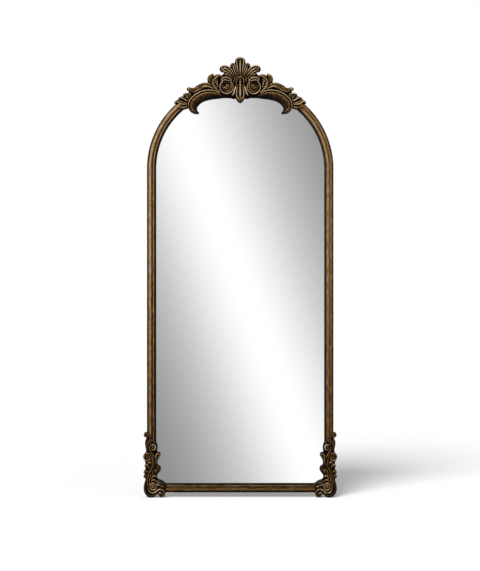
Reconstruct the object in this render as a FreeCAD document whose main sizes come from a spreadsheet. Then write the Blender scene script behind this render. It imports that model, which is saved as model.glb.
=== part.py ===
import FreeCAD, Part
import Sketcher
import math
import os
from types import SimpleNamespace
from FreeCAD import Matrix, Placement, Rotation, Vector

# Arched full-length floor mirror with a carved crest and carved corner feet.
# Millimetres. +Z is up, +X is the viewer's right and the glass faces -Y.
# The floor is z = 0, and y = 0 is the middle of the whole depth.

doc = FreeCAD.newDocument("arched_floor_mirror")
sheet = doc.addObject("Spreadsheet::Sheet", "sizes")

SIZES = {
    # the whole mirror
    "overall_height": 1930,
    "frame_width": 818,
    "foot_lift": 20,
    # the three-centred arch: two side arcs, then a flatter crown arc
    "side_offset": 32,
    "arch_sweep": 60,
    # the moulding, across from its outer edge and back from its front
    "mould_width": 40,
    "mould_depth": 32,
    "round_shoulder": 13,
    "round_crest": 13,
    "round_width": 25,
    "quirk_depth": 8,
    "quirk_width": 1,
    "bead_width": 7,
    "bead_rise": 3.5,
    "cove_drop": 6,
    "rabbet_width": 10,
    "rabbet_depth": 12,
    # glass and what backs it
    "glass_thickness": 4,
    "film_thickness": 0.3,
    "board_thickness": 4,
    "edge_gap": 1.5,
    "block_rise": 2,
    "block_length": 60,
    # castings and the flats planed for them
    "casting_rise": 16,
    "seat_depth": 10,
    "crest_half_width": 289,
    "crest_height": 247,
    "crest_rise": 103.425,
    "crest_seat_sweep": 8,
    "corner_span": 854,
    "corner_width": 101,
    "corner_height": 292,
    "corner_seat_height": 240,
    "foot_flat": 0.6,
    # hardware on the back
    "steel_thickness": 2,
    "bar_width": 18,
    "bar_length": 80,
    "brace_inset": 6,
    "brace_leg": 70,
    "clip_thickness": 1.2,
    "clip_width": 14,
    "clip_foot": 16,
    "clip_arm": 8,
    "clip_clearance": 0.5,
    "hanger_drop": 101,
    "strap_width": 15,
    "strap_length": 52,
    "strap_thickness": 1.5,
    "knuckle_rise": 0.3,
    "ring_wire": 4,
    "ring_clearance": 0.1,
    "ring_inner": 20,
    "ring_bend": 4,
    "ring_drop": 22,
    "bumper_radius": 8,
    "bumper_tip_radius": 6,
    "bumper_rise": 8,
    # fasteners
    "shank_radius": 1.75,
    "head_radius": 3.6,
    "head_rise": 2.2,
    "screw_grip": 15,
    "casting_grip": 8,
    "fit_gap": 0.05,
    "dowel_radius": 4,
    "dowel_length": 34,
    "mitre_dowel_length": 24,
    "dowel_depth": 21,
    # every cut runs this far past the faces that it opens
    "overrun": 5,
}

for row, (name, value) in enumerate(SIZES.items(), start=1):
    sheet.set(f"A{row}", name)
    sheet.set(f"B{row}", str(value))
    sheet.setAlias(f"B{row}", name)
doc.recompute()


class Size:
    """A number together with the sheet formula that it comes from."""

    def __init__(self, number, formula):
        self.number = float(number)
        self.formula = formula

    def __float__(self):
        return self.number

    def joined(self, sign, other, number):
        text = other.formula if isinstance(other, Size) else repr(float(other))
        return Size(number, f"({self.formula} {sign} {text})")

    def __add__(self, other):
        return self.joined("+", other, self.number + float(other))

    def __sub__(self, other):
        return self.joined("-", other, self.number - float(other))

    def __mul__(self, other):
        return self.joined("*", other, self.number * float(other))

    def __truediv__(self, other):
        return self.joined("/", other, self.number / float(other))

    def __neg__(self):
        return Size(-self.number, f"(-{self.formula})")


def cosine(angle):
    return Size(math.cos(math.radians(float(angle))), f"cos({angle.formula} * 1 deg)")


def sine(angle):
    return Size(math.sin(math.radians(float(angle))), f"sin({angle.formula} * 1 deg)")


size = SimpleNamespace(**{name: Size(sheet.get(name), f"sizes.{name}") for name in SIZES})

# Lines and levels that several pieces share.
half_width = size.frame_width / 2
side_radius = half_width - size.side_offset
crown_radius = side_radius + size.side_offset / cosine(size.arch_sweep)
crown_drop = size.side_offset * sine(size.arch_sweep) / cosine(size.arch_sweep)
# The crest stands a set rise above the arch, so the spring line follows the overall height.
spring_height = size.overall_height - size.crest_rise - crown_radius + crown_drop
crown_centre = spring_height - crown_drop
hanger_height = spring_height - size.hanger_drop
front = (size.casting_rise - size.mould_depth - size.bumper_rise) / 2
back = front + size.mould_depth
glass_front = back - size.rabbet_depth
film_front = glass_front + size.glass_thickness
board_front = film_front + size.film_thickness
board_back = board_front + size.board_thickness
rabbet_wall = size.mould_width - size.rabbet_width
back_middle = rabbet_wall / 2
glass_base = size.foot_lift + rabbet_wall + size.block_rise
crest_base = size.overall_height - size.crest_height
pieces = {}


def keep(label, thing):
    """Give a finished piece its name."""
    thing.Label = label
    pieces[label] = thing
    return thing


# Sketching: every corner and bow point is tied to the sheet.
def new_sketch(body, name, role):
    sketch = body.newObject("Sketcher::SketchObject", name)
    plane = next(item for item in body.Origin.OriginFeatures if item.Role == role)
    sketch.AttachmentSupport = [(plane, "")]
    sketch.MapMode = "FlatFace"
    return sketch


def tie(sketch, element, end, point):
    for kind, axis, length in (("DistanceX", -2, point[0]), ("DistanceY", -1, point[1])):
        if not isinstance(length, Size):
            sketch.addConstraint(Sketcher.Constraint("PointOnObject", element, end, axis))
            continue
        index = sketch.addConstraint(Sketcher.Constraint(kind, -1, 1, element, end, float(length)))
        sketch.setExpression(f"Constraints[{index}]", length.formula)


def flat(point):
    return Vector(float(point[0]), float(point[1]), 0)


def draw(sketch, start, *steps):
    """Close an outline. A step is the next corner, or a bow point and the next corner for an arc."""
    corner = start
    ends = []
    for step in steps + (start,):
        bowed = isinstance(step[0], tuple)
        target = step[1] if bowed else step
        if bowed:
            element = sketch.addGeometry(Part.Arc(flat(corner), flat(step[0]), flat(target)))
            bow = sketch.addGeometry(Part.Point(flat(step[0])), True)
            tie(sketch, bow, 1, step[0])
            sketch.addConstraint(Sketcher.Constraint("PointOnObject", bow, 1, element))
        else:
            element = sketch.addGeometry(Part.LineSegment(flat(corner), flat(target)))
        first = sketch.getPoint(element, 1).distanceToPoint(flat(corner))
        second = sketch.getPoint(element, 2).distanceToPoint(flat(corner))
        ends.append((element, 1, 2) if first < second else (element, 2, 1))
        corner = target
    for (element, entry, leave), (following, following_entry, _) in zip(ends, ends[1:] + ends[:1]):
        sketch.addConstraint(Sketcher.Constraint("Coincident", element, leave, following, following_entry))
    corners = [start] + [step[1] if isinstance(step[0], tuple) else step for step in steps]
    for (element, entry, leave), point in zip(ends, corners):
        tie(sketch, element, entry, point)


def new_body(label, across=None, depth=front, up=None):
    body = doc.addObject("PartDesign::Body", label)
    for axis, length in (("x", across), ("y", depth), ("z", up)):
        if length is not None:
            body.setExpression(f"Placement.Base.{axis}", length.formula)
    return body


def pad(body, sketch, length, reverse=False, both=False):
    feature = body.newObject("PartDesign::Pad", sketch.Name + "_pad")
    feature.Profile = sketch
    feature.setExpression("Length", length.formula)
    feature.Reversed = reverse
    feature.SideType = "Symmetric" if both else "One side"
    doc.recompute()
    return feature


def pocket(body, sketch, length=None):
    """Cut back from the sketch by a length, or right through both ways."""
    feature = body.newObject("PartDesign::Pocket", sketch.Name + "_pocket")
    feature.Profile = sketch
    before = body.Shape.Volume
    if length is None:
        feature.SideType = "Symmetric"
        feature.Type = "ThroughAll"
    else:
        feature.setExpression("Length", length.formula)
    doc.recompute()
    assert body.Shape.Volume < before, f"{sketch.Name} cuts nothing"


def turned(body, sketch, angle, kind="PartDesign::Revolution", both=False):
    feature = body.newObject(kind, sketch.Name + "_turn")
    feature.Profile = sketch
    axis = next(item for item in body.Origin.OriginFeatures if item.Role == "Y_Axis")
    feature.ReferenceAxis = (axis, [""])
    feature.setExpression("Angle", angle.formula)
    feature.Midplane = both
    doc.recompute()
    return feature


# The frame moulding: a large round, a quirk, a bead and a steep cove, rabbeted behind.
BOW_SHARE = math.sqrt(0.5)


def moulding_outline(sketch, at):
    bead_start = size.round_width + size.quirk_width
    bead_end = bead_start + size.bead_width
    cove_start = bead_end + size.quirk_width
    cove_end = size.quirk_depth + size.cove_drop
    cove_width = size.mould_width - cove_start
    cove_bow = at(size.mould_width - cove_width * BOW_SHARE, size.quirk_depth + size.cove_drop * BOW_SHARE)
    draw(
        sketch,
        at(None, size.mould_depth),
        at(None, size.round_shoulder),
        (at(size.round_crest, None), at(size.round_width, size.quirk_depth)),
        at(bead_start, size.quirk_depth),
        (at(bead_start + size.bead_width / 2, size.quirk_depth - size.bead_rise),
         at(bead_end, size.quirk_depth)),
        at(cove_start, size.quirk_depth),
        (cove_bow, at(size.mould_width, cove_end)),
        at(size.mould_width, size.mould_depth - size.rabbet_depth),
        at(rabbet_wall, size.mould_depth - size.rabbet_depth),
        at(rabbet_wall, size.mould_depth),
    )


def inward_from(edge):
    """Place the moulding in a sketch whose first axis runs across and whose second runs back."""
    def at(across, depth):
        return (edge if across is None else edge - across, 0 if depth is None else depth)
    return at


def upward_from(edge, sign):
    """Place the moulding in a sketch whose first axis runs back and whose second runs across."""
    def at(across, depth):
        height = edge if across is None else edge + across * sign
        return (0 if depth is None else depth, height)
    return at


def seat_sketch(body, name, left, right, low, high):
    """A rectangle in front of the moulding, from which a flat is planed."""
    sketch = new_sketch(body, name, "XZ_Plane")
    sketch.setExpression("AttachmentOffset.Base.z", size.overrun.formula)
    draw(sketch, (left, low), (right, low), (right, high), (left, high))
    pocket(body, sketch, size.seat_depth + size.overrun)


# Right stile, mitred below and flat where the corner casting sits.
stile = new_body("right_stile_blank")
stile_section = new_sketch(stile, "stile_section", "XY_Plane")
stile_section.setExpression("AttachmentOffset.Base.z", size.foot_lift.formula)
moulding_outline(stile_section, inward_from(half_width))
pad(stile, stile_section, spring_height - size.foot_lift)
mitre_top = size.foot_lift + size.mould_width + size.overrun
mitre_low = size.foot_lift - size.overrun
inner_edge = half_width - size.mould_width
stile_mitre = new_sketch(stile, "stile_mitre", "XZ_Plane")
draw(
    stile_mitre,
    (half_width + size.overrun, mitre_low),
    (inner_edge - size.overrun, mitre_top),
    (inner_edge - size.overrun, mitre_low),
)
pocket(stile, stile_mitre)
seat_sketch(stile, "stile_seat", inner_edge - size.overrun, half_width + size.overrun,
            mitre_low, size.corner_seat_height)

# Bottom rail, mitred at both ends and flat under the two corner castings.
rail = new_body("bottom_rail_blank")
rail_section = new_sketch(rail, "rail_section", "YZ_Plane")
moulding_outline(rail_section, upward_from(size.foot_lift, 1))
pad(rail, rail_section, size.frame_width, both=True)
rail_mitre = new_sketch(rail, "rail_mitre", "XZ_Plane")
for sign in (1, -1):
    draw(
        rail_mitre,
        ((half_width + size.overrun) * sign, mitre_low),
        ((inner_edge - size.overrun) * sign, mitre_top),
        ((half_width + size.overrun) * sign, mitre_top),
    )
pocket(rail, rail_mitre)
rail_seat_end = size.corner_span / 2 - size.corner_width
for sign, name in ((1, "rail_seat_right"), (-1, "rail_seat_left")):
    seat_sketch(rail, name, rail_seat_end * sign, (half_width + size.overrun) * sign, mitre_low, mitre_top)

# Right side arc: its first face is the joint with the crown, its last the spring line.
arc = new_body("arch_right_blank", across=size.side_offset, up=spring_height)
arc.Placement.Rotation = Rotation(Vector(0, 1, 0), -float(size.arch_sweep))
arc_section = new_sketch(arc, "arc_section", "XY_Plane")
moulding_outline(arc_section, inward_from(side_radius))
turned(arc, arc_section, size.arch_sweep)
arc_seat = new_sketch(arc, "arc_seat", "XY_Plane")
draw(
    arc_seat,
    (side_radius - size.mould_width - size.overrun, -size.overrun),
    (side_radius + size.overrun, -size.overrun),
    (side_radius + size.overrun, size.seat_depth),
    (side_radius - size.mould_width - size.overrun, size.seat_depth),
)
turned(arc, arc_seat, size.crest_seat_sweep, kind="PartDesign::Groove")

# Crown arc, planed flat all along under the crest. The three arcs make half a turn together.
HALF_TURN = 180
crown = new_body("arch_crown_blank", up=crown_centre)
crown_section = new_sketch(crown, "crown_section", "YZ_Plane")
moulding_outline(crown_section, upward_from(crown_radius, -1))
crown_sweep = -(size.arch_sweep * 2 - HALF_TURN)
turned(crown, crown_section, crown_sweep, both=True)
seat_sketch(crown, "crown_seat", -half_width, half_width, crown_radius / 2, crown_radius + size.overrun)


# Glass, film and backing board share one arched outline.
def arched_outline(sketch, inset, base):
    side_reach = side_radius - inset
    middle = size.arch_sweep / 2
    edge = half_width - inset
    bow = (size.side_offset + side_reach * cosine(middle), spring_height + side_reach * sine(middle))
    join = (size.side_offset + side_reach * cosine(size.arch_sweep),
            spring_height + side_reach * sine(size.arch_sweep))
    draw(
        sketch,
        (edge, base),
        (edge, spring_height),
        (bow, join),
        ((0, crown_centre + crown_radius - inset), (-join[0], join[1])),
        ((-bow[0], bow[1]), (-edge, spring_height)),
        (-edge, base),
    )


def sheet_piece(label, depth, thickness):
    body = new_body(label, depth=depth)
    sketch = new_sketch(body, label + "_outline", "XZ_Plane")
    arched_outline(sketch, rabbet_wall + size.edge_gap, glass_base)
    pad(body, sketch, thickness, reverse=True)
    return keep(label, body)


sheet_piece("mirror_glass", glass_front, size.glass_thickness)
sheet_piece("safety_film", film_front, size.film_thickness)
sheet_piece("backing_board", board_front, size.board_thickness)


# Solids that are set by hand from the sheet's sizes.
def feature(label, shape):
    thing = doc.addObject("Part::Feature", label)
    thing.Shape = shape
    return thing


def spot(across, depth, up):
    return Vector(float(across), float(depth), float(up))


def both_sides(places):
    return [place for across, up in places for place in ((across, up), (-across, up))]


def mirror_copies(shapes):
    return shapes + [shape.mirror(Vector(0, 0, 0), Vector(1, 0, 0)) for shape in shapes]


def on_arc(inset, angle):
    """A point on the right side arc, a way in from its outer edge."""
    reach = side_radius - inset
    turn = math.radians(angle)
    return (float(size.side_offset) + float(reach) * math.cos(turn),
            float(spring_height) + float(reach) * math.sin(turn))


def on_crown(inset, angle):
    """A point on the crown arc, turned to the right from the top."""
    reach = float(crown_radius - inset)
    turn = math.radians(angle)
    return (reach * math.sin(turn), float(crown_centre) + reach * math.cos(turn))


def block(label, length, thickness, width, across, depth, up):
    thing = doc.addObject("Part::Box", label)
    for name, value in (("Length", length), ("Width", thickness), ("Height", width)):
        thing.setExpression(name, value.formula)
    for axis, value in (("x", across), ("y", depth), ("z", up)):
        thing.setExpression(f"Placement.Base.{axis}", value.formula)
    return thing


# Setting blocks under the glass at the quarter points.
block_depth = size.glass_thickness + size.film_thickness + size.board_thickness
block_spots = (half_width / 2 - size.block_length / 2, -(half_width / 2) - size.block_length / 2)
blocks = doc.addObject("Part::Compound", "setting_blocks")
blocks.Links = [
    block(f"setting_block_{side}", size.block_length, block_depth, size.block_rise,
          across, glass_front, size.foot_lift + rabbet_wall)
    for side, across in zip(("right", "left"), block_spots)
]
keep("setting_blocks", blocks)


# Fasteners. A screw has a pan head, a plain shank and a blunt point; its hole is a little larger.
TIP_SHARE = 0.3
POINT_SHARE = 2.2
DOME_SHARE = 0.6


def screw(grip, across, depth, up):
    """The underside of the head is at the given depth and the shank runs forward from there."""
    shank = float(size.shank_radius)
    rise = float(size.head_rise)
    point = shank * POINT_SHARE
    straight = float(grip) - point
    head = Part.makeCylinder(float(size.head_radius), rise, Vector(0, 0, 0), Vector(0, 1, 0))
    rim = max(head.Edges, key=lambda edge: edge.CenterOfMass.y)
    head = head.makeFillet(rise * DOME_SHARE, [rim])
    body = Part.makeCylinder(shank, straight, Vector(0, 0, 0), Vector(0, -1, 0))
    tip = Part.makeCone(shank, shank * TIP_SHARE, point, Vector(0, -straight, 0), Vector(0, -1, 0))
    return head.multiFuse([body, tip]).removeSplitter().translated(spot(across, depth, up))


def hole(grip, across, depth, up):
    radius = float(size.shank_radius + size.fit_gap)
    length = float(grip + size.fit_gap)
    bottom = spot(across, depth - grip - size.fit_gap, up)
    return Part.makeCylinder(radius, length + float(size.overrun), bottom, Vector(0, 1, 0))


def rod(radius, length, middle, way):
    return Part.makeCylinder(float(radius), float(length), middle - way * (float(length) / 2), way)


# Clips: the foot lies on the frame's back, the arm steps down and holds the board in.
def clip(across, up, angle):
    wall = -float(size.clip_clearance)
    skin = float(size.clip_thickness)
    foot = float(size.clip_foot)
    arm = -float(size.clip_arm)
    rest = float(board_back - back)
    corners = [(wall - skin, skin), (foot, skin), (foot, 0), (wall, 0), (wall, rest), (arm, rest),
               (arm, rest + skin), (wall - skin, rest + skin)]
    width = float(size.clip_width)
    points = [Vector(x, y, -width / 2) for x, y in corners]
    solid = Part.Face(Part.makePolygon(points + points[:1])).extrude(Vector(0, 0, width))
    solid = solid.cut(hole(size.screw_grip, size.clip_foot / 2, size.clip_thickness, 0))
    return solid.transformed(Placement(spot(across, back, up), Rotation(Vector(0, 1, 0), -angle)).toMatrix())


CLIP_STILE_SHARES = (0.22, 0.4, 0.6, 0.8)
CLIP_RAIL_SHARES = (0, 0.5)
CLIP_ARC_ANGLES = (18, 42)
CLIP_CROWN_ANGLE = 10


def clip_spots(inset):
    """Where clips stand on the right half, with the way out of the frame as an angle."""
    height = float(spring_height)
    spots = [(float(half_width - inset), height * share, 0) for share in CLIP_STILE_SHARES]
    spots += [(float(half_width) * share, float(size.foot_lift + inset), -90) for share in CLIP_RAIL_SHARES]
    spots += [on_arc(inset, angle) + (angle,) for angle in CLIP_ARC_ANGLES]
    spots.append(on_crown(inset, CLIP_CROWN_ANGLE) + (90 - CLIP_CROWN_ANGLE,))
    return spots


def with_twins(spots):
    """Right and left places; one on the middle line is not doubled."""
    return spots + [(-x, z, 180 - angle) for x, z, angle in spots if x > float(size.overrun)]


clip_places = with_twins(clip_spots(rabbet_wall))
clip_screw_places = with_twins(clip_spots(rabbet_wall - size.clip_foot / 2))
keep("retainer_clips", feature("retainer_clips", Part.makeCompound([clip(*place) for place in clip_places])))
clip_face = back + size.clip_thickness
clip_screws = [screw(size.screw_grip, x, clip_face, z) for x, z, _ in clip_screw_places]
keep("clip_screws", feature("clip_screws", Part.makeCompound(clip_screws)))
clip_holes = [hole(size.screw_grip, x, clip_face, z) for x, z, _ in clip_screw_places]

# Corner braces: flat steel angles across the mitres.
BRACE_HOLE_SHARES = (0.55, 0.86)
brace = new_body("brace_blank", depth=back)
brace_sketch = new_sketch(brace, "brace_outline", "XZ_Plane")
brace_out = half_width - size.brace_inset
brace_low = size.foot_lift + size.brace_inset
draw(
    brace_sketch,
    (brace_out, brace_low),
    (brace_out, brace_low + size.brace_leg),
    (brace_out - size.bar_width, brace_low + size.brace_leg),
    (brace_out - size.bar_width, brace_low + size.bar_width),
    (brace_out - size.brace_leg, brace_low + size.bar_width),
    (brace_out - size.brace_leg, brace_low),
)
pad(brace, brace_sketch, size.steel_thickness, reverse=True)
steel_face = back + size.steel_thickness
brace_reaches = [size.brace_leg * share for share in BRACE_HOLE_SHARES]
brace_spots = [(brace_out - size.bar_width / 2, brace_low + reach) for reach in brace_reaches]
brace_spots += [(brace_out - reach, brace_low + size.bar_width / 2) for reach in brace_reaches]
brace_screws = [screw(size.screw_grip, x, steel_face, z) for x, z in both_sides(brace_spots)]
keep("brace_screws", feature("brace_screws", Part.makeCompound(brace_screws)))
brace_holes = [hole(size.screw_grip, x, steel_face, z) for x, z in both_sides(brace_spots)]


def mirrored(label, source):
    twin = doc.addObject("Part::Mirroring", label)
    twin.Source = source
    twin.Normal = Vector(1, 0, 0)
    return twin


def drilled(label, blank, holes):
    drills = feature(label + "_drills", Part.makeCompound(holes))
    piece = doc.addObject("Part::Cut", label)
    piece.Base = blank
    piece.Tool = drills
    return piece


brace_right = drilled("corner_brace_right", brace, brace_holes)
braces = doc.addObject("Part::Compound", "corner_braces")
braces.Links = [brace_right, mirrored("corner_brace_left", brace_right)]
keep("corner_braces", braces)

# Joint plates: straight bars across the four joints of the arch.
spring_spot = (float(half_width - back_middle), float(spring_height), 0)
crown_spot = on_arc(back_middle, float(size.arch_sweep)) + (float(size.arch_sweep),)
bar_length = float(size.bar_length)
# The inner screws stand clear of the ends of the dowel that lies under the bar.
inner_reach = float(size.dowel_length / 2 + size.fit_gap + size.head_radius)
outer_reach = float(size.bar_length - size.bar_width) / 2
bar_reaches = (-outer_reach, -inner_reach, inner_reach, outer_reach)


def bar_point(place, reach):
    """A point along a bar, which lies square to the angle of its joint."""
    turn = math.radians(place[2])
    return (place[0] - reach * math.sin(turn), place[1] + reach * math.cos(turn))


def bar(place):
    ends = [Part.makeCylinder(float(size.bar_width / 2), float(size.steel_thickness),
                              Vector(0, 0, sign * (bar_length - float(size.bar_width)) / 2), Vector(0, 1, 0))
            for sign in (1, -1)]
    length = size.bar_length - size.bar_width
    body = Part.makeBox(float(size.bar_width), float(size.steel_thickness), float(length),
                        Vector(-float(size.bar_width) / 2, 0, -float(length) / 2))
    solid = body.multiFuse(ends).removeSplitter()
    turn = Placement(spot(place[0], back, place[1]), Rotation(Vector(0, 1, 0), -place[2]))
    return solid.transformed(turn.toMatrix())


bar_spots = [bar_point(place, reach) for place in (spring_spot, crown_spot) for reach in bar_reaches]
plate_holes = [hole(size.screw_grip, x, steel_face, z) for x, z in both_sides(bar_spots)]
bars = [bar(place).cut(Part.makeCompound(plate_holes)) for place in (spring_spot, crown_spot)]
keep("joint_plates", feature("joint_plates", Part.makeCompound(mirror_copies(bars))))
plate_screws = [screw(size.screw_grip, x, steel_face, z) for x, z in both_sides(bar_spots)]
keep("plate_screws", feature("plate_screws", Part.makeCompound(plate_screws)))

# Dowels inside the joints: upright at the spring line, along the arc at the crown, square to the mitres.
dowel_depth = front + size.dowel_depth
crown_turn = math.radians(float(size.arch_sweep))
dowel_lines = [
    (size.dowel_length, spot(half_width - back_middle, dowel_depth, spring_height), Vector(0, 0, 1)),
    (size.dowel_length, spot(crown_spot[0], dowel_depth, crown_spot[1]),
     Vector(-math.sin(crown_turn), 0, math.cos(crown_turn))),
    (size.mitre_dowel_length, spot(half_width - back_middle, dowel_depth, size.foot_lift + back_middle),
     Vector(BOW_SHARE, 0, BOW_SHARE)),
]
dowels = mirror_copies([rod(size.dowel_radius, length, middle, way) for length, middle, way in dowel_lines])
keep("frame_dowels", feature("frame_dowels", Part.makeCompound(dowels)))
dowel_holes = mirror_copies([
    rod(size.dowel_radius + size.fit_gap, length + size.fit_gap * 2, middle, way)
    for length, middle, way in dowel_lines
])

# Hangers: a strap whose end is rolled into a knuckle, and a ring of bent wire that swings in it.
hanger_across = half_width - back_middle
bore_radius = size.ring_wire / 2 + size.ring_clearance
knuckle_radius = bore_radius + size.strap_thickness
ring_depth = back + size.knuckle_rise + knuckle_radius
STRAP_HOLE_SHARES = (0.66, 0.88)
strap_plate = block("strap_plate", size.strap_width, size.strap_thickness, size.strap_length,
                    hanger_across - size.strap_width / 2, back, hanger_height - size.strap_length)


def knuckle_part(label, radius, length):
    thing = doc.addObject("Part::Cylinder", label)
    thing.setExpression("Radius", radius.formula)
    thing.setExpression("Height", length.formula)
    thing.Placement.Rotation = Rotation(Vector(0, 1, 0), 90)
    places = (("x", hanger_across - length / 2), ("y", ring_depth), ("z", hanger_height))
    for axis, value in places:
        thing.setExpression(f"Placement.Base.{axis}", value.formula)
    return thing


strap_blank = doc.addObject("Part::MultiFuse", "strap_blank")
strap_blank.Shapes = [strap_plate, knuckle_part("knuckle", knuckle_radius, size.strap_width)]
strap_bored = doc.addObject("Part::Cut", "strap_bored")
strap_bored.Base = strap_blank
strap_bored.Tool = knuckle_part("knuckle_bore", bore_radius, size.strap_width + size.overrun)
strap_face = back + size.strap_thickness
hanger_drops = [size.strap_length * share for share in STRAP_HOLE_SHARES]
hanger_spots = [(hanger_across, hanger_height - drop) for drop in hanger_drops]
hanger_holes = [hole(size.screw_grip, x, strap_face, z) for x, z in both_sides(hanger_spots)]
right_strap = keep("right_hanger_strap", drilled("right_hanger_strap", strap_bored, hanger_holes))
keep("left_hanger_strap", mirrored("left_hanger_strap", right_strap))
hanger_screws = [screw(size.screw_grip, x, strap_face, z) for x, z in both_sides(hanger_spots)]
keep("hanger_screws", feature("hanger_screws", Part.makeCompound(hanger_screws)))

ring = new_body("right_hanger_ring", across=hanger_across, depth=ring_depth, up=hanger_height)
ring_half = (size.ring_inner + size.ring_wire) / 2
bar_half = ring_half - size.ring_bend
bend_bow = bar_half + size.ring_bend * BOW_SHARE
bend_drop = -(size.ring_bend - size.ring_bend * BOW_SHARE)
bow_centre = -(size.ring_drop - ring_half)
ring_path = new_sketch(ring, "ring_path", "XZ_Plane")
draw(
    ring_path,
    (0, 0),
    (bar_half, 0),
    ((bend_bow, bend_drop), (ring_half, -size.ring_bend)),
    (ring_half, bow_centre),
    ((0, -size.ring_drop), (-ring_half, bow_centre)),
    (-ring_half, -size.ring_bend),
    ((-bend_bow, bend_drop), (-bar_half, 0)),
)
ring_section = new_sketch(ring, "ring_section", "YZ_Plane")
wire_circle = Part.Circle(Vector(0, 0, 0), Vector(0, 0, 1), float(size.ring_wire) / 2)
section_circle = ring_section.addGeometry(wire_circle)
ring_section.addConstraint(Sketcher.Constraint("Coincident", section_circle, 3, -1, 1))
wire_radius = ring_section.addConstraint(
    Sketcher.Constraint("Radius", section_circle, float(size.ring_wire) / 2))
ring_section.setExpression(f"Constraints[{wire_radius}]", (size.ring_wire / 2).formula)
ring_pipe = ring.newObject("PartDesign::AdditivePipe", "ring_pipe")
ring_pipe.Profile = ring_section
ring_pipe.Spine = ring_path
doc.recompute()
right_ring = keep("right_hanger_ring", ring)
keep("left_hanger_ring", mirrored("left_hanger_ring", right_ring))

# Wall bumpers on the back: one above the screws of each corner casting, one up on each side arc.
BUMPER_CORNER_SHARE = 0.74
BUMPER_ARC_ANGLE = 30
bumper_spots = [(float(hanger_across), float(size.corner_height) * BUMPER_CORNER_SHARE),
                on_arc(back_middle, BUMPER_ARC_ANGLE)]
bumpers = [Part.makeCone(float(size.bumper_radius), float(size.bumper_tip_radius), float(size.bumper_rise),
                         spot(x, back, z), Vector(0, 1, 0)) for x, z in both_sides(bumper_spots)]
keep("wall_bumpers", feature("wall_bumpers", Part.makeCompound(bumpers)))

# Screws that hold the castings pass right through the frame from behind.
CREST_SCREW_ANGLES = (-19, 0, 19)
CORNER_SCREW_SHARES = (0.42, 0.58)
casting_screw_grip = size.mould_depth - size.seat_depth + size.casting_grip
crest_spots = [on_crown(back_middle, angle) for angle in CREST_SCREW_ANGLES]
corner_spots = [(hanger_across, size.corner_height * share) for share in CORNER_SCREW_SHARES]
keep("crest_screws", feature("crest_screws", Part.makeCompound(
    [screw(casting_screw_grip, x, back, z) for x, z in crest_spots])))
keep("corner_screws", feature("corner_screws", Part.makeCompound(
    [screw(casting_screw_grip, x, back, z) for x, z in both_sides(corner_spots)])))
crest_holes = [hole(casting_screw_grip, x, back, z) for x, z in crest_spots]
corner_holes = [hole(casting_screw_grip, x, back, z) for x, z in both_sides(corner_spots)]

# Frame pieces, drilled for every fastener that enters them.
frame_holes = clip_holes + brace_holes + plate_holes + hanger_holes
frame_holes += crest_holes + corner_holes + dowel_holes
right_stile = keep("right_stile", drilled("right_stile", stile, frame_holes))
keep("left_stile", mirrored("left_stile", right_stile))
keep("bottom_rail", drilled("bottom_rail", rail, frame_holes))
arch_right = keep("arch_right", drilled("arch_right", arc, frame_holes))
keep("arch_left", mirrored("arch_left", arch_right))
keep("arch_crown", drilled("arch_crown", crown, frame_holes))
doc.recompute()


# Carving. A sprig is a tapering leaf or scroll, swept along a path through sections of one outline.
# The section has an upright wall on either side that runs down into the ground, and a curved front.
ROUND_SHARES = ((-1, 0.12), (-0.72, 0.7), (0, 1), (0.72, 0.7), (1, 0.12))
HORN_SHARES = ((-1, 0.2), (-0.55, 0.24), (0, 0.34), (0.45, 0.66), (0.75, 1), (1, 0.6))
ROOT_SHARE = -0.5


def section_edges(shares):
    front_points = [Vector(across, height, 0) for across, height in shares]
    roots = [Vector(point.x, ROOT_SHARE, 0) for point in (front_points[-1], front_points[0])]
    walls = [(front_points[-1], roots[0]), roots, (roots[1], front_points[0])]
    return [curve(front_points)] + [Part.makeLine(*wall) for wall in walls]


def curve(points):
    line = Part.BSplineCurve()
    line.interpolate(points)
    return line.toShape()


def placed(section, middle, across, height):
    along = across.cross(height)
    along.normalize()
    matrix = Matrix(across.x, height.x, along.x, middle.x,
                    across.y, height.y, along.y, middle.y,
                    across.z, height.z, along.z, middle.z,
                    0, 0, 0, 1)
    return Part.Wire([edge.transformGeometry(matrix) for edge in section])


round_section = section_edges(ROUND_SHARES)
horn_section = section_edges(HORN_SHARES)


def sprig(stations, peak, section=round_section):
    """Sweep through (point, half width) stations; the height follows the width and peaks at the belly."""
    path = Part.BSplineCurve()
    path.interpolate([point for point, _ in stations])
    widest = max(width for _, width in stations)
    sweep = Part.BRepOffsetAPI.MakePipeShell(Part.Wire([path.toShape()]))
    sweep.setBiNormalMode(Vector(0, 1, 0))
    for point, width in stations:
        across = path.tangent(path.parameter(point))[0].cross(Vector(0, 1, 0))
        across.normalize()
        height = peak * math.sqrt(width / widest)
        sweep.add(placed(section, point, across * width, Vector(0, -height, 0)), False, False)
    sweep.build()
    sweep.makeSolid()
    return sweep.shape()


def scroll(centre, radii, widths, start, turns):
    """Stations of a flat spiral that winds clockwise from a start angle, drawing in as it goes."""
    count = round(TURN_STATIONS * turns) + 1
    stations = []
    for step in range(count):
        way = step / (count - 1)
        turn = math.radians(start - 360 * turns * way)
        radius = radii[0] + (radii[1] - radii[0]) * way
        point = centre + Vector(math.cos(turn), 0, math.sin(turn)) * radius
        stations.append((point, widths[0] + (widths[1] - widths[0]) * way))
    return stations


def ground(edges):
    """The plate behind the carving, from the level of the moulding's front to its own flat back."""
    return Part.Face(Part.Wire(edges)).extrude(spot(0, size.seat_depth, 0))


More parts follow.
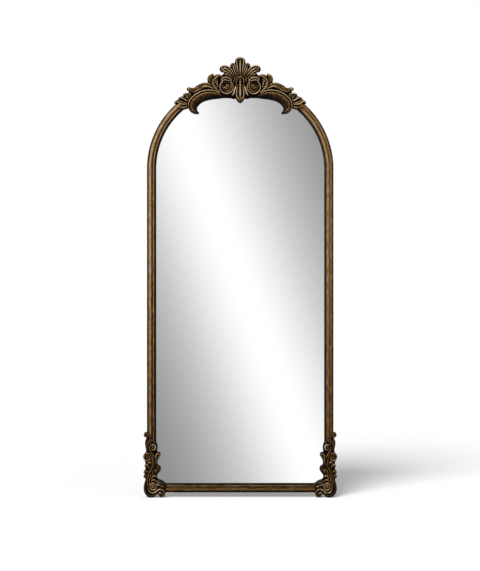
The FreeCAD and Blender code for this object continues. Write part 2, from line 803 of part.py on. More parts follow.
# Crest. Each sprig has its rise, as a share of the casting's rise, and its stations. Places are shares of
# the crest's half width and height, half widths are shares of the half width. The left half mirrors it.
CREST_SHARES = {
    "leaf_outer": (0.5, ((0.34, 0.405, 0.013), (0.42, 0.45, 0.026), (0.47, 0.54, 0.042),
                         (0.465, 0.62, 0.036), (0.42, 0.71, 0.012))),
    "leaf_inner": (0.6, ((0.315, 0.4, 0.01), (0.345, 0.46, 0.018), (0.365, 0.55, 0.026), (0.35, 0.63, 0.028),
                         (0.285, 0.67, 0.014))),
    "arm": (0.55, ((0.475, 0.452, 0.012), (0.53, 0.495, 0.022), (0.59, 0.5, 0.03), (0.66, 0.46, 0.034),
                   (0.73, 0.43, 0.026), (0.8, 0.43, 0.016))),
    "finger_top": (0.46, ((0.715, 0.335, 0.014), (0.77, 0.345, 0.022), (0.82, 0.35, 0.022),
                          (0.86, 0.342, 0.011))),
    "finger_high": (0.5, ((0.765, 0.265, 0.018), (0.82, 0.28, 0.027), (0.88, 0.28, 0.025),
                          (0.93, 0.262, 0.012))),
    "finger_middle": (0.54, ((0.79, 0.2, 0.018), (0.86, 0.21, 0.027), (0.93, 0.21, 0.025),
                             (0.99, 0.18, 0.013))),
    "finger_low": (0.5, ((0.795, 0.135, 0.017), (0.86, 0.13, 0.024), (0.93, 0.125, 0.022),
                         (0.97, 0.13, 0.011))),
    "finger_last": (0.44, ((0.78, 0.08, 0.015), (0.84, 0.07, 0.022), (0.91, 0.06, 0.013))),
    "cap": (0.57, ((0.09, 0.58, 0.013), (0.14, 0.598, 0.022), (0.2, 0.605, 0.024), (0.25, 0.59, 0.02),
                   (0.29, 0.572, 0.011))),
    "lobe_side": (0.55, ((0.045, 0.63, 0.012), (0.082, 0.74, 0.024), (0.108, 0.83, 0.03),
                         (0.122, 0.88, 0.018))),
    "lobe_wide": (0.6, ((0.055, 0.62, 0.013), (0.13, 0.715, 0.03), (0.21, 0.79, 0.042), (0.27, 0.8, 0.033),
                        (0.3, 0.76, 0.015))),
    "lobe_under": (0.5, ((0.1, 0.645, 0.01), (0.15, 0.67, 0.018), (0.21, 0.695, 0.017),
                         (0.24, 0.68, 0.009))),
    "leaflet": (0.53, ((0.045, 0.48, 0.011), (0.07, 0.41, 0.022), (0.09, 0.34, 0.021),
                       (0.12, 0.305, 0.009))),
}
HORN_PATH_SHARES = ((0.3, 0.335, 0.022), (0.38, 0.345, 0.039), (0.5, 0.335, 0.062), (0.59, 0.3, 0.074),
                    (0.67, 0.235, 0.08), (0.715, 0.16, 0.074), (0.71, 0.09, 0.056), (0.67, 0.04, 0.026),
                    (0.64, 0.02, 0.011))
LOBE_SHARES = ((0, 0.66, 0.03), (0, 0.74, 0.044), (0, 0.85, 0.059), (0, 0.93, 0.076), (0, 0.98, 0.055),
               (0, 1, 0.02))
PENDANT_SHARES = ((0, 0.53, 0.015), (0, 0.44, 0.033), (0, 0.33, 0.058), (0, 0.24, 0.052), (0, 0.2, 0.018))
HOOD_SHARES = ((-0.077, 0.47, 0.011), (-0.066, 0.59, 0.014), (0, 0.655, 0.015), (0.066, 0.59, 0.014),
               (0.077, 0.47, 0.011))
BEAD_SHARES = ((0, 0.61), (0.029, 0.592), (0.037, 0.55))
BEAD_RADIUS_SHARE = 0.012
RING_SHARES = (0.205, 0.445)
RING_RADIUS_SHARES = (0.094, 0.04)
RING_WIDTH_SHARES = (0.015, 0.011)
RING_TURNS = 1.3
RING_START = 70
CREST_TOP_SHARES = ((0, 0.94), (0.06, 0.88), (0.12, 0.82), (0.22, 0.77), (0.28, 0.69), (0.34, 0.61),
                    (0.43, 0.6), (0.5, 0.51), (0.6, 0.46), (0.71, 0.41), (0.8, 0.32), (0.88, 0.25),
                    (0.93, 0.17))
CREST_LOW_SHARES = ((0.93, 0.17), (0.86, 0.09), (0.76, 0.07), (0.69, 0.07), (0.66, 0.12), (0.63, 0.18),
                    (0.53, 0.24), (0.4, 0.275), (0.22, 0.283), (0.1, 0.275), (0.04, 0.23), (0, 0.21))
LOBE_RISE_SHARE = 0.985
PENDANT_RISE_SHARE = 0.8
MIDDLE_RISE_SHARE = 0.6
HORN_RISE_SHARE = 0.7
TURN_STATIONS = 9


def crest_point(across, up):
    return spot(size.crest_half_width * across, front, crest_base + size.crest_height * up)


def crest_stations(shares):
    return [(crest_point(across, up), float(size.crest_half_width) * width) for across, up, width in shares]


def crest_bead(share):
    return Part.makeSphere(crest_unit * BEAD_RADIUS_SHARE, crest_point(*share))


rise = float(size.casting_rise)
crest_unit = float(size.crest_half_width)
crest_lines = [[crest_point(*share) for share in shares] for shares in (CREST_TOP_SHARES, CREST_LOW_SHARES)]
middle_line = Part.makeLine(crest_lines[1][-1], crest_lines[0][0])
crest_half = [ground([curve(points) for points in crest_lines] + [middle_line])]
crest_half += [sprig(crest_stations(shares), rise * height) for height, shares in CREST_SHARES.values()]
crest_half.append(sprig(crest_stations(HORN_PATH_SHARES), rise * HORN_RISE_SHARE, section=horn_section))
ring_radii = [crest_unit * share for share in RING_RADIUS_SHARES]
ring_widths = [crest_unit * share for share in RING_WIDTH_SHARES]
ring_stations = scroll(crest_point(*RING_SHARES), ring_radii, ring_widths, RING_START, RING_TURNS)
crest_half.append(sprig(ring_stations, rise * MIDDLE_RISE_SHARE))
crest_half += [crest_bead(share) for share in BEAD_SHARES[1:]]
crest_halves = mirror_copies([crest_half[0].multiFuse(crest_half[1:])])
crest_middle = [
    crest_bead(BEAD_SHARES[0]),
    sprig(crest_stations(LOBE_SHARES), rise * LOBE_RISE_SHARE),
    sprig(crest_stations(PENDANT_SHARES), rise * PENDANT_RISE_SHARE),
    sprig(crest_stations(HOOD_SHARES), rise * MIDDLE_RISE_SHARE),
]
crest_shape = crest_halves[0].multiFuse(crest_halves[1:] + crest_middle)
arch_blanks = mirror_copies([arc.Shape]) + [crown.Shape]
crest_shape = crest_shape.cut(arch_blanks + crest_holes)
keep("crest_casting", feature("crest_casting", crest_shape))

# Corner castings. Places are shares of the casting's width, in from its outer edge, and of its height; half
# widths are shares of its width. Two lobes reach under the rail to the frame's back and are the feet.
CORNER_SHARES = {
    "stem": (0.58, ((0.385, 0.672, 0.045), (0.455, 0.6, 0.06), (0.45, 0.53, 0.068), (0.41, 0.451, 0.072),
                    (0.31, 0.331, 0.07), (0.19, 0.245, 0.07), (0.13, 0.158, 0.07), (0.18, 0.086, 0.07),
                    (0.31, 0.046, 0.07), (0.47, 0.058, 0.06), (0.6, 0.085, 0.045))),
    "blade": (0.5, ((0.2, 0.715, 0.035), (0.185, 0.765, 0.07), (0.19, 0.83, 0.08), (0.205, 0.9, 0.03))),
    "hook": (0.5, ((0.55, 0.46, 0.035), (0.575, 0.53, 0.048), (0.58, 0.595, 0.05), (0.61, 0.64, 0.044),
                   (0.67, 0.652, 0.038), (0.73, 0.63, 0.03))),
    "inner_leaf": (0.48, ((0.42, 0.286, 0.035), (0.51, 0.365, 0.07), (0.6, 0.41, 0.085), (0.7, 0.408, 0.065),
                          (0.755, 0.385, 0.035))),
    "lobe_upper": (0.44, ((0.3, 0.45, 0.035), (0.22, 0.48, 0.065), (0.12, 0.484, 0.035))),
    "lobe_middle": (0.42, ((0.235, 0.37, 0.035), (0.16, 0.39, 0.06), (0.08, 0.388, 0.035))),
    "lobe_lower": (0.4, ((0.155, 0.305, 0.03), (0.11, 0.314, 0.05), (0.06, 0.312, 0.03))),
    "rail_leaf": (0.44, ((0.62, 0.215, 0.04), (0.69, 0.238, 0.065), (0.82, 0.217, 0.065),
                         (0.98, 0.18, 0.03))),
}
# Volutes of the corner: the place of each, then the radii of its rim and of the rim's own roll.
CORNER_RING_SHARES = ((0.152, 0.95, 0.075, 0.038), (0.448, 0.747, 0.122, 0.05), (0.2, 0.605, 0.13, 0.052),
                      (0.435, 0.15, 0.155, 0.048), (0.796, 0.06, 0.11, 0.05))
EYE_SHARES = ((0.36, 0.868, 0.07), (0.448, 0.747, 0.042), (0.2, 0.605, 0.05), (0.435, 0.15, 0.06),
              (0.796, 0.06, 0.036))
CORNER_EDGE_SHARES = (
    ((0.1, 0.268), (0.075, 0.21), (0.045, 0.158), (0.055, 0.1), (0.1, 0.045), (0.19, 0.008), (0.31, -0.0035),
     (0.44, 0.012), (0.55, 0.034), (0.63, 0.034)),
    ((0.63, 0.034), (0.69, 0.008), (0.796, -0.004), (0.9, 0.012), (0.965, 0.042), (0.97, 0.08),
     (0.93, 0.115), (0.89, 0.145)),
    ((0.89, 0.145), (0.93, 0.162), (1, 0.166), (1.008, 0.195), (0.93, 0.226), (0.83, 0.25), (0.69, 0.27),
     (0.58, 0.272), (0.53, 0.29)),
    ((0.53, 0.29), (0.57, 0.325), (0.66, 0.352), (0.75, 0.352), (0.81, 0.375), (0.79, 0.42), (0.71, 0.443),
     (0.63, 0.46)),
    ((0.63, 0.46), (0.63, 0.49), (0.645, 0.54), (0.665, 0.585), (0.72, 0.597), (0.775, 0.612), (0.78, 0.648),
     (0.7, 0.68), (0.64, 0.7)),
    ((0.64, 0.7), (0.645, 0.75), (0.6, 0.797), (0.52, 0.818), (0.45, 0.834)),
    ((0.45, 0.834), (0.455, 0.866), (0.42, 0.897), (0.34, 0.91), (0.29, 0.925)),
    ((0.29, 0.925), (0.283, 0.965), (0.21, 0.994), (0.1, 0.994), (0.025, 0.968), (0.03, 0.93), (0.09, 0.9)),
    ((0.09, 0.9), (0.08, 0.85), (0.08, 0.8), (0.09, 0.755), (0.13, 0.71)),
    ((0.13, 0.71), (0.09, 0.68), (0.02, 0.645), (0, 0.605), (0.02, 0.565), (0.1, 0.535), (0.17, 0.522)),
    ((0.17, 0.522), (0.1, 0.508), (0.083, 0.487), (0.1, 0.462), (0.16, 0.44)),
    ((0.16, 0.44), (0.08, 0.414), (0.045, 0.39), (0.07, 0.367), (0.115, 0.348)),
    ((0.115, 0.348), (0.05, 0.332), (0.03, 0.312), (0.05, 0.29), (0.1, 0.268)))
FOOT_SHARES = ((0.33, 0.19), (0.796, 0.14))


def corner_point(across, up):
    return spot(size.corner_span / 2 - size.corner_width * across, front, size.corner_height * up)


corner_unit = float(size.corner_width)
corner_parts = [ground([curve([corner_point(*share) for share in run]) for run in CORNER_EDGE_SHARES])]
for height, shares in CORNER_SHARES.values():
    stations = [(corner_point(across, up), corner_unit * width) for across, up, width in shares]
    corner_parts.append(sprig(stations, rise * height))
for across, up, radius, roll in CORNER_RING_SHARES:
    rim = Part.makeTorus(corner_unit * radius, corner_unit * roll, corner_point(across, up), Vector(0, 1, 0))
    corner_parts.append(rim)
for across, up, radius in EYE_SHARES:
    corner_parts.append(Part.makeSphere(corner_unit * radius, corner_point(across, up)))
foot_start = spot(0, size.seat_depth, 0)
foot_depth = float(size.mould_depth - size.seat_depth)
floor_start = corner_point(1, 0) - spot(size.overrun, 0, 0)
floor_length = float(size.corner_width + size.overrun * 2)
foot_space = Part.makeBox(floor_length, foot_depth, float(size.foot_lift), floor_start + foot_start)
for across, share in FOOT_SHARES:
    radius = corner_unit * share
    middle = corner_point(across, 0) + foot_start + Vector(0, 0, radius - float(size.foot_flat))
    corner_parts.append(Part.makeCylinder(radius, foot_depth, middle, Vector(0, 1, 0)).common(foot_space))
corner_shape = corner_parts[0].multiFuse(corner_parts[1:])
below = Part.makeBox(floor_length, float(size.mould_depth + size.overrun * 2), float(size.overrun),
                     floor_start - spot(0, size.overrun, size.overrun))
corner_shape = corner_shape.cut([stile.Shape, rail.Shape, below] + corner_holes)
right_corner = keep("right_corner_casting", feature("right_corner_casting", corner_shape))
keep("left_corner_casting", mirrored("left_corner_casting", right_corner))
doc.recompute()

faults = [thing.Label for thing in doc.Objects if {"Invalid", "Error"} & set(thing.State)]
faults += [label for label, piece in pieces.items() if piece.Shape.isNull() or not piece.Shape.isValid()]
if faults:
    raise RuntimeError("not built: " + ", ".join(faults))

os.makedirs("parts", exist_ok=True)
for label, piece in pieces.items():
    piece.Shape.exportStep(f"parts/{label}.step")
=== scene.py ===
# %% [markdown]
# # Arched floor mirror
# A tall mirror in a slim moulded frame that stands on two scrolled feet.
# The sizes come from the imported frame: a plain glass, wooden mouldings, a planted crest and two planted corner scrolls.
# This lesson gives each of those pieces its finish, and carves the crest and the corners as fine reliefs.

# %% Load the frame
import math
import bmesh
import bpy
import numpy as np
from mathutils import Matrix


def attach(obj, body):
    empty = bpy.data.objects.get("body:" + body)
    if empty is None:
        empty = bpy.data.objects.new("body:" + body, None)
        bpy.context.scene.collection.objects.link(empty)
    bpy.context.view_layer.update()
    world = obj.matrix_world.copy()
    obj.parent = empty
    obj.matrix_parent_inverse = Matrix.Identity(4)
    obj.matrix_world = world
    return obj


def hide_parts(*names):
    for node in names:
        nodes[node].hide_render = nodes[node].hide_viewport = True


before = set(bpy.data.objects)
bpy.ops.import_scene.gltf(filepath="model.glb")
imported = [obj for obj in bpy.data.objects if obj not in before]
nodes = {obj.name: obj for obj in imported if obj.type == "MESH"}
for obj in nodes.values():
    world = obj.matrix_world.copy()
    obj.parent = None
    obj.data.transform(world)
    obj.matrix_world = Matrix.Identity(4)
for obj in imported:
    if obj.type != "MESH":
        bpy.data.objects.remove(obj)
scene = bpy.context.scene
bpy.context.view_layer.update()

# %% [markdown]
# ## Carving by strokes
# A carver lays out an ornament as strokes: the run of a leaf, of a rolled stem or of a scroll.
# Each stroke is a row of stations on a squared drawing, and each station holds two places, a half width and a height.
# The drawing's squares are 4.386 mm wide, its middle line is at 240.2 and the floor is at 497.
# Heights are millimetres above the flat back of the carving, and the seat is where that back lies, in metres.
# Sculpting by hand would do too, but written strokes come out the same each time and are easy to mend.

# %% The squared drawing
SQUARE = 0.004386
MIDDLE = 240.2
FLOOR = 497.0
SEAT = -0.002
DOT_LENGTH = 0.02
LEAST_HALF_WIDTH = 0.25


def smooth_path(stations, steps=9):
    """A smooth curve through the stations, with its width and height carried along. One station makes a dot."""
    rows = np.array(stations, float)
    if len(rows) < 2:
        return np.vstack([rows, rows + [DOT_LENGTH, 0.0, 0.0, 0.0]])
    padded = np.vstack([2 * rows[0] - rows[1], rows, 2 * rows[-1] - rows[-2]])
    padded[[0, -1], 2:] = rows[[0, -1], 2:]
    share = np.linspace(0, 1, steps, endpoint=False)[:, None]
    runs = []
    for before, here, there, after in zip(padded, padded[1:], padded[2:], padded[3:]):
        runs.append(0.5 * (2 * here + (there - before) * share
                           + (2 * before - 5 * here + 4 * there - after) * share ** 2
                           + (3 * here - before - 3 * there + after) * share ** 3))
    path = np.vstack(runs + [rows[-1:]])
    path[:, 2] = np.maximum(path[:, 2], LEAST_HALF_WIDTH)
    return path


STATIONS_A_TURN = 10
WINDING = 0.85
THINNING = 0.35
SINKING = 0.06


def scroll(across, up, radius, eye, first_angle, turns, width, height):
    """Stations of a spiral that winds in from a radius to its eye, a little thinner and lower on the way."""
    count = int(abs(turns) * STATIONS_A_TURN) + 2
    stations = []
    for share in np.linspace(0, 1, count):
        angle = math.radians(first_angle) + 2 * math.pi * turns * share
        reach = radius + (eye - radius) * share ** WINDING
        stations.append((across + reach * math.cos(angle), up - reach * math.sin(angle),
                         width * (1 - THINNING * share), height * (1 - SINKING * share)))
    return stations


# %% [markdown]
# ## Section shapes
# A gouge leaves a few plain sections: a round roll, a hollow leaf with a rib and turned-up margins, and a horn with a
# bright outer rim over a hollow face. A body is a low, broad roll under the ridges of a leaf. A cut is a gouged hollow
# that is taken out of what is already there.
# The side of a point on a stroke runs from -1 at one edge through 0 at the middle to 1 at the other edge.

# %% Sections across a stroke
EDGE_SHARE = 0.45


def risen(share, edge=EDGE_SHARE):
    """A quarter round: an upright edge of a given share, then a curve up to the full height."""
    return edge + (1 - edge) * np.sqrt(np.clip(share, 0, 1))


def hump(side, middle, spread):
    return np.exp(-((side - middle) / spread) ** 2)


def roll_section(side):
    return risen(1 - side ** 2)


def leaf_section(side):
    hollow = 0.66 + 0.3 * np.abs(side) ** 1.6
    rib = 0.26 * hump(side, 0, 0.16)
    vein = 0.05 * np.cos(side * 5 * math.pi)
    return risen((1 - np.abs(side)) / 0.22) * (hollow + rib + vein)


def horn_section(side):
    rim = hump(side, 0.82, 0.15)
    swell = 0.08 * hump(side, 0.25, 0.3)
    groove = 1 - 0.34 * hump(side, 0.58, 0.1)
    face = (0.66 + 0.16 * (side - 0.6) + swell) * groove
    return risen((1 - np.abs(side)) / 0.08, 0.4) * np.maximum(face, 0.3 + 0.7 * rim)


SECTIONS = {"body": roll_section, "roll": roll_section, "leaf": leaf_section, "horn": horn_section}
BROAD_TONES = {"body": 0.04, "roll": 0.0, "leaf": 0.03, "horn": 0.18}
print("sections", list(SECTIONS))

# %% [markdown]
# ## The relief
# The relief is a height above the flat back at each point of a fine grid.
# Strokes are laid one on another and the higher one stays in view, as where one leaf passes over another.
# A low ground joins them, and how far a point lies inside the outline is kept so that the outline can be drawn smooth.
# Tubes joined by booleans are another way. A grid of heights has no undercuts, like a casting that leaves its mould.


# %% Lay strokes on a grid
TINY = 1e-9


def nearest_on_path(path, spots):
    """For each spot: the side across the path, the half width there and the height there."""
    start, end = path[:-1], path[1:]
    run = end[:, :2] - start[:, :2]
    gap = spots[:, None, :] - start[None, :, :2]
    share = np.clip((gap * run).sum(2) / np.maximum((run ** 2).sum(1), TINY), 0, 1)
    off = gap - share[:, :, None] * run
    width = start[:, 2] + share * (end[:, 2] - start[:, 2])
    height = start[:, 3] + share * (end[:, 3] - start[:, 3])
    ratio = np.sqrt((off ** 2).sum(2)) / width
    pick = np.argmin(ratio, axis=1)
    rows = np.arange(len(spots))
    turn = run[pick, 0] * off[rows, pick, 1] - run[pick, 1] * off[rows, pick, 0]
    side = np.where(turn < 0, -1, 1) * ratio[rows, pick]
    return side, width[rows, pick], height[rows, pick]


OUTLINE_MARGIN = 0.9


def lay_stroke(relief, kind, stations):
    """Raises a stroke from the relief, or cuts it in. The higher of two raised strokes stays."""
    path = smooth_path(stations)
    reach = path[:, 2].max() + OUTLINE_MARGIN
    near = ((relief["across"] > path[:, 0].min() - reach) & (relief["across"] < path[:, 0].max() + reach)
            & (relief["down"] > path[:, 1].min() - reach) & (relief["down"] < path[:, 1].max() + reach))
    spots = np.stack([relief["across"][near], relief["down"][near]], axis=1)
    if not len(spots):
        return
    side, width, height = nearest_on_path(path, spots)
    inside = np.abs(side) < 1
    if kind == "cut":
        old = relief["height"][near]
        cut = height + np.maximum(old - height, 0) * side ** 2
        relief["height"][near] = np.where(inside, np.minimum(old, cut), old)
        return
    raised = np.where(inside, height * SECTIONS[kind](np.clip(side, -1, 1)), 0)
    over = raised > relief["height"][near]
    relief["tone"][near] = np.where(over, BROAD_TONES[kind], relief["tone"][near])
    relief["height"][near] = np.maximum(relief["height"][near], raised)
    relief["inside"][near] = np.maximum(relief["inside"][near], (1 - np.abs(side)) * width)


def lay_ground(relief, outline, height):
    """A low plate inside an outline with rounded corners. Its distance from the edge is kept."""
    corners = np.array(outline, float)
    for _ in range(3):
        following = np.roll(corners, -1, axis=0)
        pairs = [0.75 * corners + 0.25 * following, 0.25 * corners + 0.75 * following]
        corners = np.stack(pairs, axis=1).reshape(-1, 2)
    x, y = relief["across"], relief["down"]
    within = np.zeros(x.shape, bool)
    distance = np.full(x.shape, np.inf)
    for (x0, y0), (x1, y1) in zip(corners, np.roll(corners, -1, axis=0)):
        crosses = (y0 > y) != (y1 > y)
        within ^= crosses & (x < (x1 - x0) * (y - y0) / (y1 - y0 + TINY) + x0)
        run = np.array([x1 - x0, y1 - y0])
        share = np.clip(((x - x0) * run[0] + (y - y0) * run[1]) / (run @ run), 0, 1)
        distance = np.minimum(distance, np.hypot(x - x0 - share * run[0], y - y0 - share * run[1]))
    signed = np.where(within, distance, -distance)
    relief["inside"] = np.maximum(relief["inside"], signed)
    relief["height"] = np.where(within, np.maximum(relief["height"], height), relief["height"])


FAR_OUTSIDE = -9.0


def blank_relief(across_first, across_last, down_first, down_last, pitch):
    columns = int(round((across_last - across_first) / pitch)) + 1
    rows = int(round((down_last - down_first) / pitch)) + 1
    across, down = np.meshgrid(np.linspace(across_first, across_last, columns),
                               np.linspace(down_first, down_last, rows))
    return {"across": across, "down": down, "height": np.zeros(across.shape),
            "tone": np.zeros(across.shape), "inside": np.full(across.shape, FAR_OUTSIDE)}


# %% [markdown]
# ## From relief to mesh
# Grid points inside the outline become the carved front. Gaps that the outline runs round are closed first.
# Points at the edge slide onto the outline and take the lowest height near them, so that the edge runs clean.


# %% Blur and closed gaps
def blur(values, radius):
    """Three passes of a box average, close to a round blur."""
    for _ in range(3):
        for axis in (0, 1):
            padded = np.pad(values, [(radius + 1, radius) if i == axis else (0, 0) for i in (0, 1)], mode="edge")
            total = np.cumsum(padded, axis=axis)
            size = values.shape[axis]
            high = np.take(total, np.arange(2 * radius + 1, 2 * radius + 1 + size), axis=axis)
            low = np.take(total, np.arange(0, size), axis=axis)
            values = (high - low) / (2 * radius + 1)
    return values


def inside_outline(relief):
    pitch = relief["across"][0, 1] - relief["across"][0, 0]
    return relief["inside"] > -0.5 * pitch


def fill_holes(relief, height):
    """Closes gaps that the outline runs all the way round, so that no light shows through the carving."""
    solid = inside_outline(relief)
    outer = np.zeros(solid.shape, bool)
    outer[[0, -1], :] = outer[:, [0, -1]] = True
    outer &= ~solid
    reached = 0
    while outer.sum() > reached:
        reached = outer.sum()
        for _ in range(20):
            grown = outer.copy()
            grown[1:] |= outer[:-1]
            grown[:-1] |= outer[1:]
            grown[:, 1:] |= outer[:, :-1]
            grown[:, :-1] |= outer[:, 1:]
            outer = grown & ~solid
    holes = ~solid & ~outer
    around = blur(holes.astype(float), 2) > 0
    relief["inside"] = np.where(around & ~outer, np.maximum(relief["inside"], 1.0), relief["inside"])
    relief["height"] = np.where(holes, height, relief["height"])
    print("holes closed", int(holes.sum()))


# %% Slide to the outline
LONGEST_STEP = 0.8
LEAST_STEEP = 0.3


def step_to_outline(relief):
    """How far each grid point near the outline has to step to lie on it."""
    inside = relief["inside"]
    pitch = relief["across"][0, 1] - relief["across"][0, 0]
    slope_down, slope_across = np.gradient(np.clip(inside, -3 * pitch, 3 * pitch), pitch)
    steep = np.maximum(slope_across ** 2 + slope_down ** 2, LEAST_STEEP)
    longest = LONGEST_STEP * pitch
    step = np.clip(inside, -longest, longest) / steep
    reach = np.hypot(step * slope_across, step * slope_down)
    step = step * np.minimum(1, longest / np.maximum(reach, TINY))
    return -step * slope_across, -step * slope_down


def lowest_nearby(values):
    """The lowest of each grid point and its eight neighbours."""
    padded = np.pad(values, 1, mode="edge")
    rows, columns = values.shape
    return np.min([padded[i:i + rows, j:j + columns] for i in range(3) for j in range(3)], axis=0)


# %% [markdown]
# A mask is worked out from the heights and kept on the mesh: where a cloth would rub the finish, and where painted
# shade darkens it. It is high on worn ridges and low in hollows, where dark glaze lies under painted shade, and along
# the outline, where painted shade lies.
# Walls run back from the edge to the flat back, which flat faces close.

# %% Wear and shade mask and mesh
EDGE_FADE = 1.4
HOLLOW = 7.5
HOLLOW_FADE = 6
WALL_SHARE = 0.3
MILLIMETRE = 0.001


def wear_and_shade_mask(relief, tone):
    """How pale each place is: a tone all over, more on worn ridges, less in hollows (dark glaze and painted shade) and
    along the outline (painted shade).
    """
    height = relief["height"]
    # Ridges are worn pale. Low places and the outline get painted shade, over the dark glaze in the hollows.
    ridge = 0.28 * (height - blur(height, 2)) + 0.03 * (height - blur(height, 9))
    reached = np.clip((height - HOLLOW) / HOLLOW_FADE, 0, 1)
    edge = np.clip(0.1 + relief["inside"] / EDGE_FADE, 0, 1)
    return np.clip(tone + relief["tone"] + ridge, 0, 1) * edge * (0.15 + 0.85 * reached)


def relief_mesh(name, relief, back, tone):
    """A closed mesh from a relief, with a flat back and its mask of wear and painted shade."""
    keep = inside_outline(relief)
    full = keep[:-1, :-1] & keep[1:, :-1] & keep[:-1, 1:] & keep[1:, 1:]
    used = np.zeros(keep.shape, bool)
    for down, along in ((0, 0), (1, 0), (0, 1), (1, 1)):
        used[down:down + full.shape[0], along:along + full.shape[1]] |= full
    number = np.where(used, np.cumsum(used.ravel()).reshape(used.shape) - 1, -1)
    quads = np.stack([number[:-1, :-1][full], number[1:, :-1][full], number[1:, 1:][full],
                      number[:-1, 1:][full]], axis=1)
    edges = np.concatenate([quads[:, [i, (i + 1) % 4]] for i in range(4)])
    keys = edges.min(1) * used.sum() + edges.max(1)
    _, first, count = np.unique(keys, return_index=True, return_counts=True)
    rim = edges[first[count == 1]]
    rim_points = np.unique(rim)
    across, down = relief["across"][used], relief["down"][used]
    step_across, step_down = step_to_outline(relief)
    across[rim_points] += step_across[used][rim_points]
    down[rim_points] += step_down[used][rim_points]
    height = relief["height"][used]
    height[rim_points] = lowest_nearby(relief["height"])[used][rim_points]
    front = np.stack([(across - MIDDLE) * SQUARE, SEAT - height * MILLIMETRE, (FLOOR - down) * SQUARE], axis=1)
    twin = np.full(len(front), -1)
    twin[rim_points] = np.arange(len(rim_points)) + len(front)
    behind = front[rim_points].copy()
    behind[:, 1] = back
    walls = np.stack([rim[:, 1], rim[:, 0], twin[rim[:, 0]], twin[rim[:, 1]]], axis=1)
    mesh = bpy.data.meshes.new(name)
    mesh.from_pydata(np.vstack([front, behind]).tolist(), [], np.vstack([quads, walls]).tolist())
    close_back(mesh, twin[rim])
    mask = wear_and_shade_mask(relief, tone)[used]
    layer = mesh.attributes.new("wear_and_painted_light", "FLOAT", "POINT")
    layer.data.foreach_set("value", np.concatenate([mask, mask[rim_points] * WALL_SHARE]).astype(np.float32))
    return mesh


def close_back(mesh, rim):
    """Fills the flat back between the wall's hind edges."""
    work = bmesh.new()
    work.from_mesh(mesh)
    work.verts.ensure_lookup_table()
    loops = [work.edges.get((work.verts[a], work.verts[b])) for a, b in rim.tolist()]
    bmesh.ops.triangle_fill(work, edges=loops, use_beauty=True, normal=(0, 1, 0))
    bmesh.ops.recalc_face_normals(work, faces=work.faces)
    work.to_mesh(mesh)
    work.free()


def placed(name, mesh):
    piece = bpy.data.objects.new(name, mesh)
    scene.collection.objects.link(piece)
    for face in mesh.polygons:
        face.use_smooth = True
    return piece


# %% [markdown]
# ## The crest
# The crest is one casting planted on the crown of the arch. Its middle is a tall shell of ribbed lobes over a beaded
# niche, with a ring and a shell at each side. Two C-shaped horns carry it, and leaf sprays lie out over the mouldings.
# The left half is drawn and the right half is its mirror image, as on a carver's pattern.

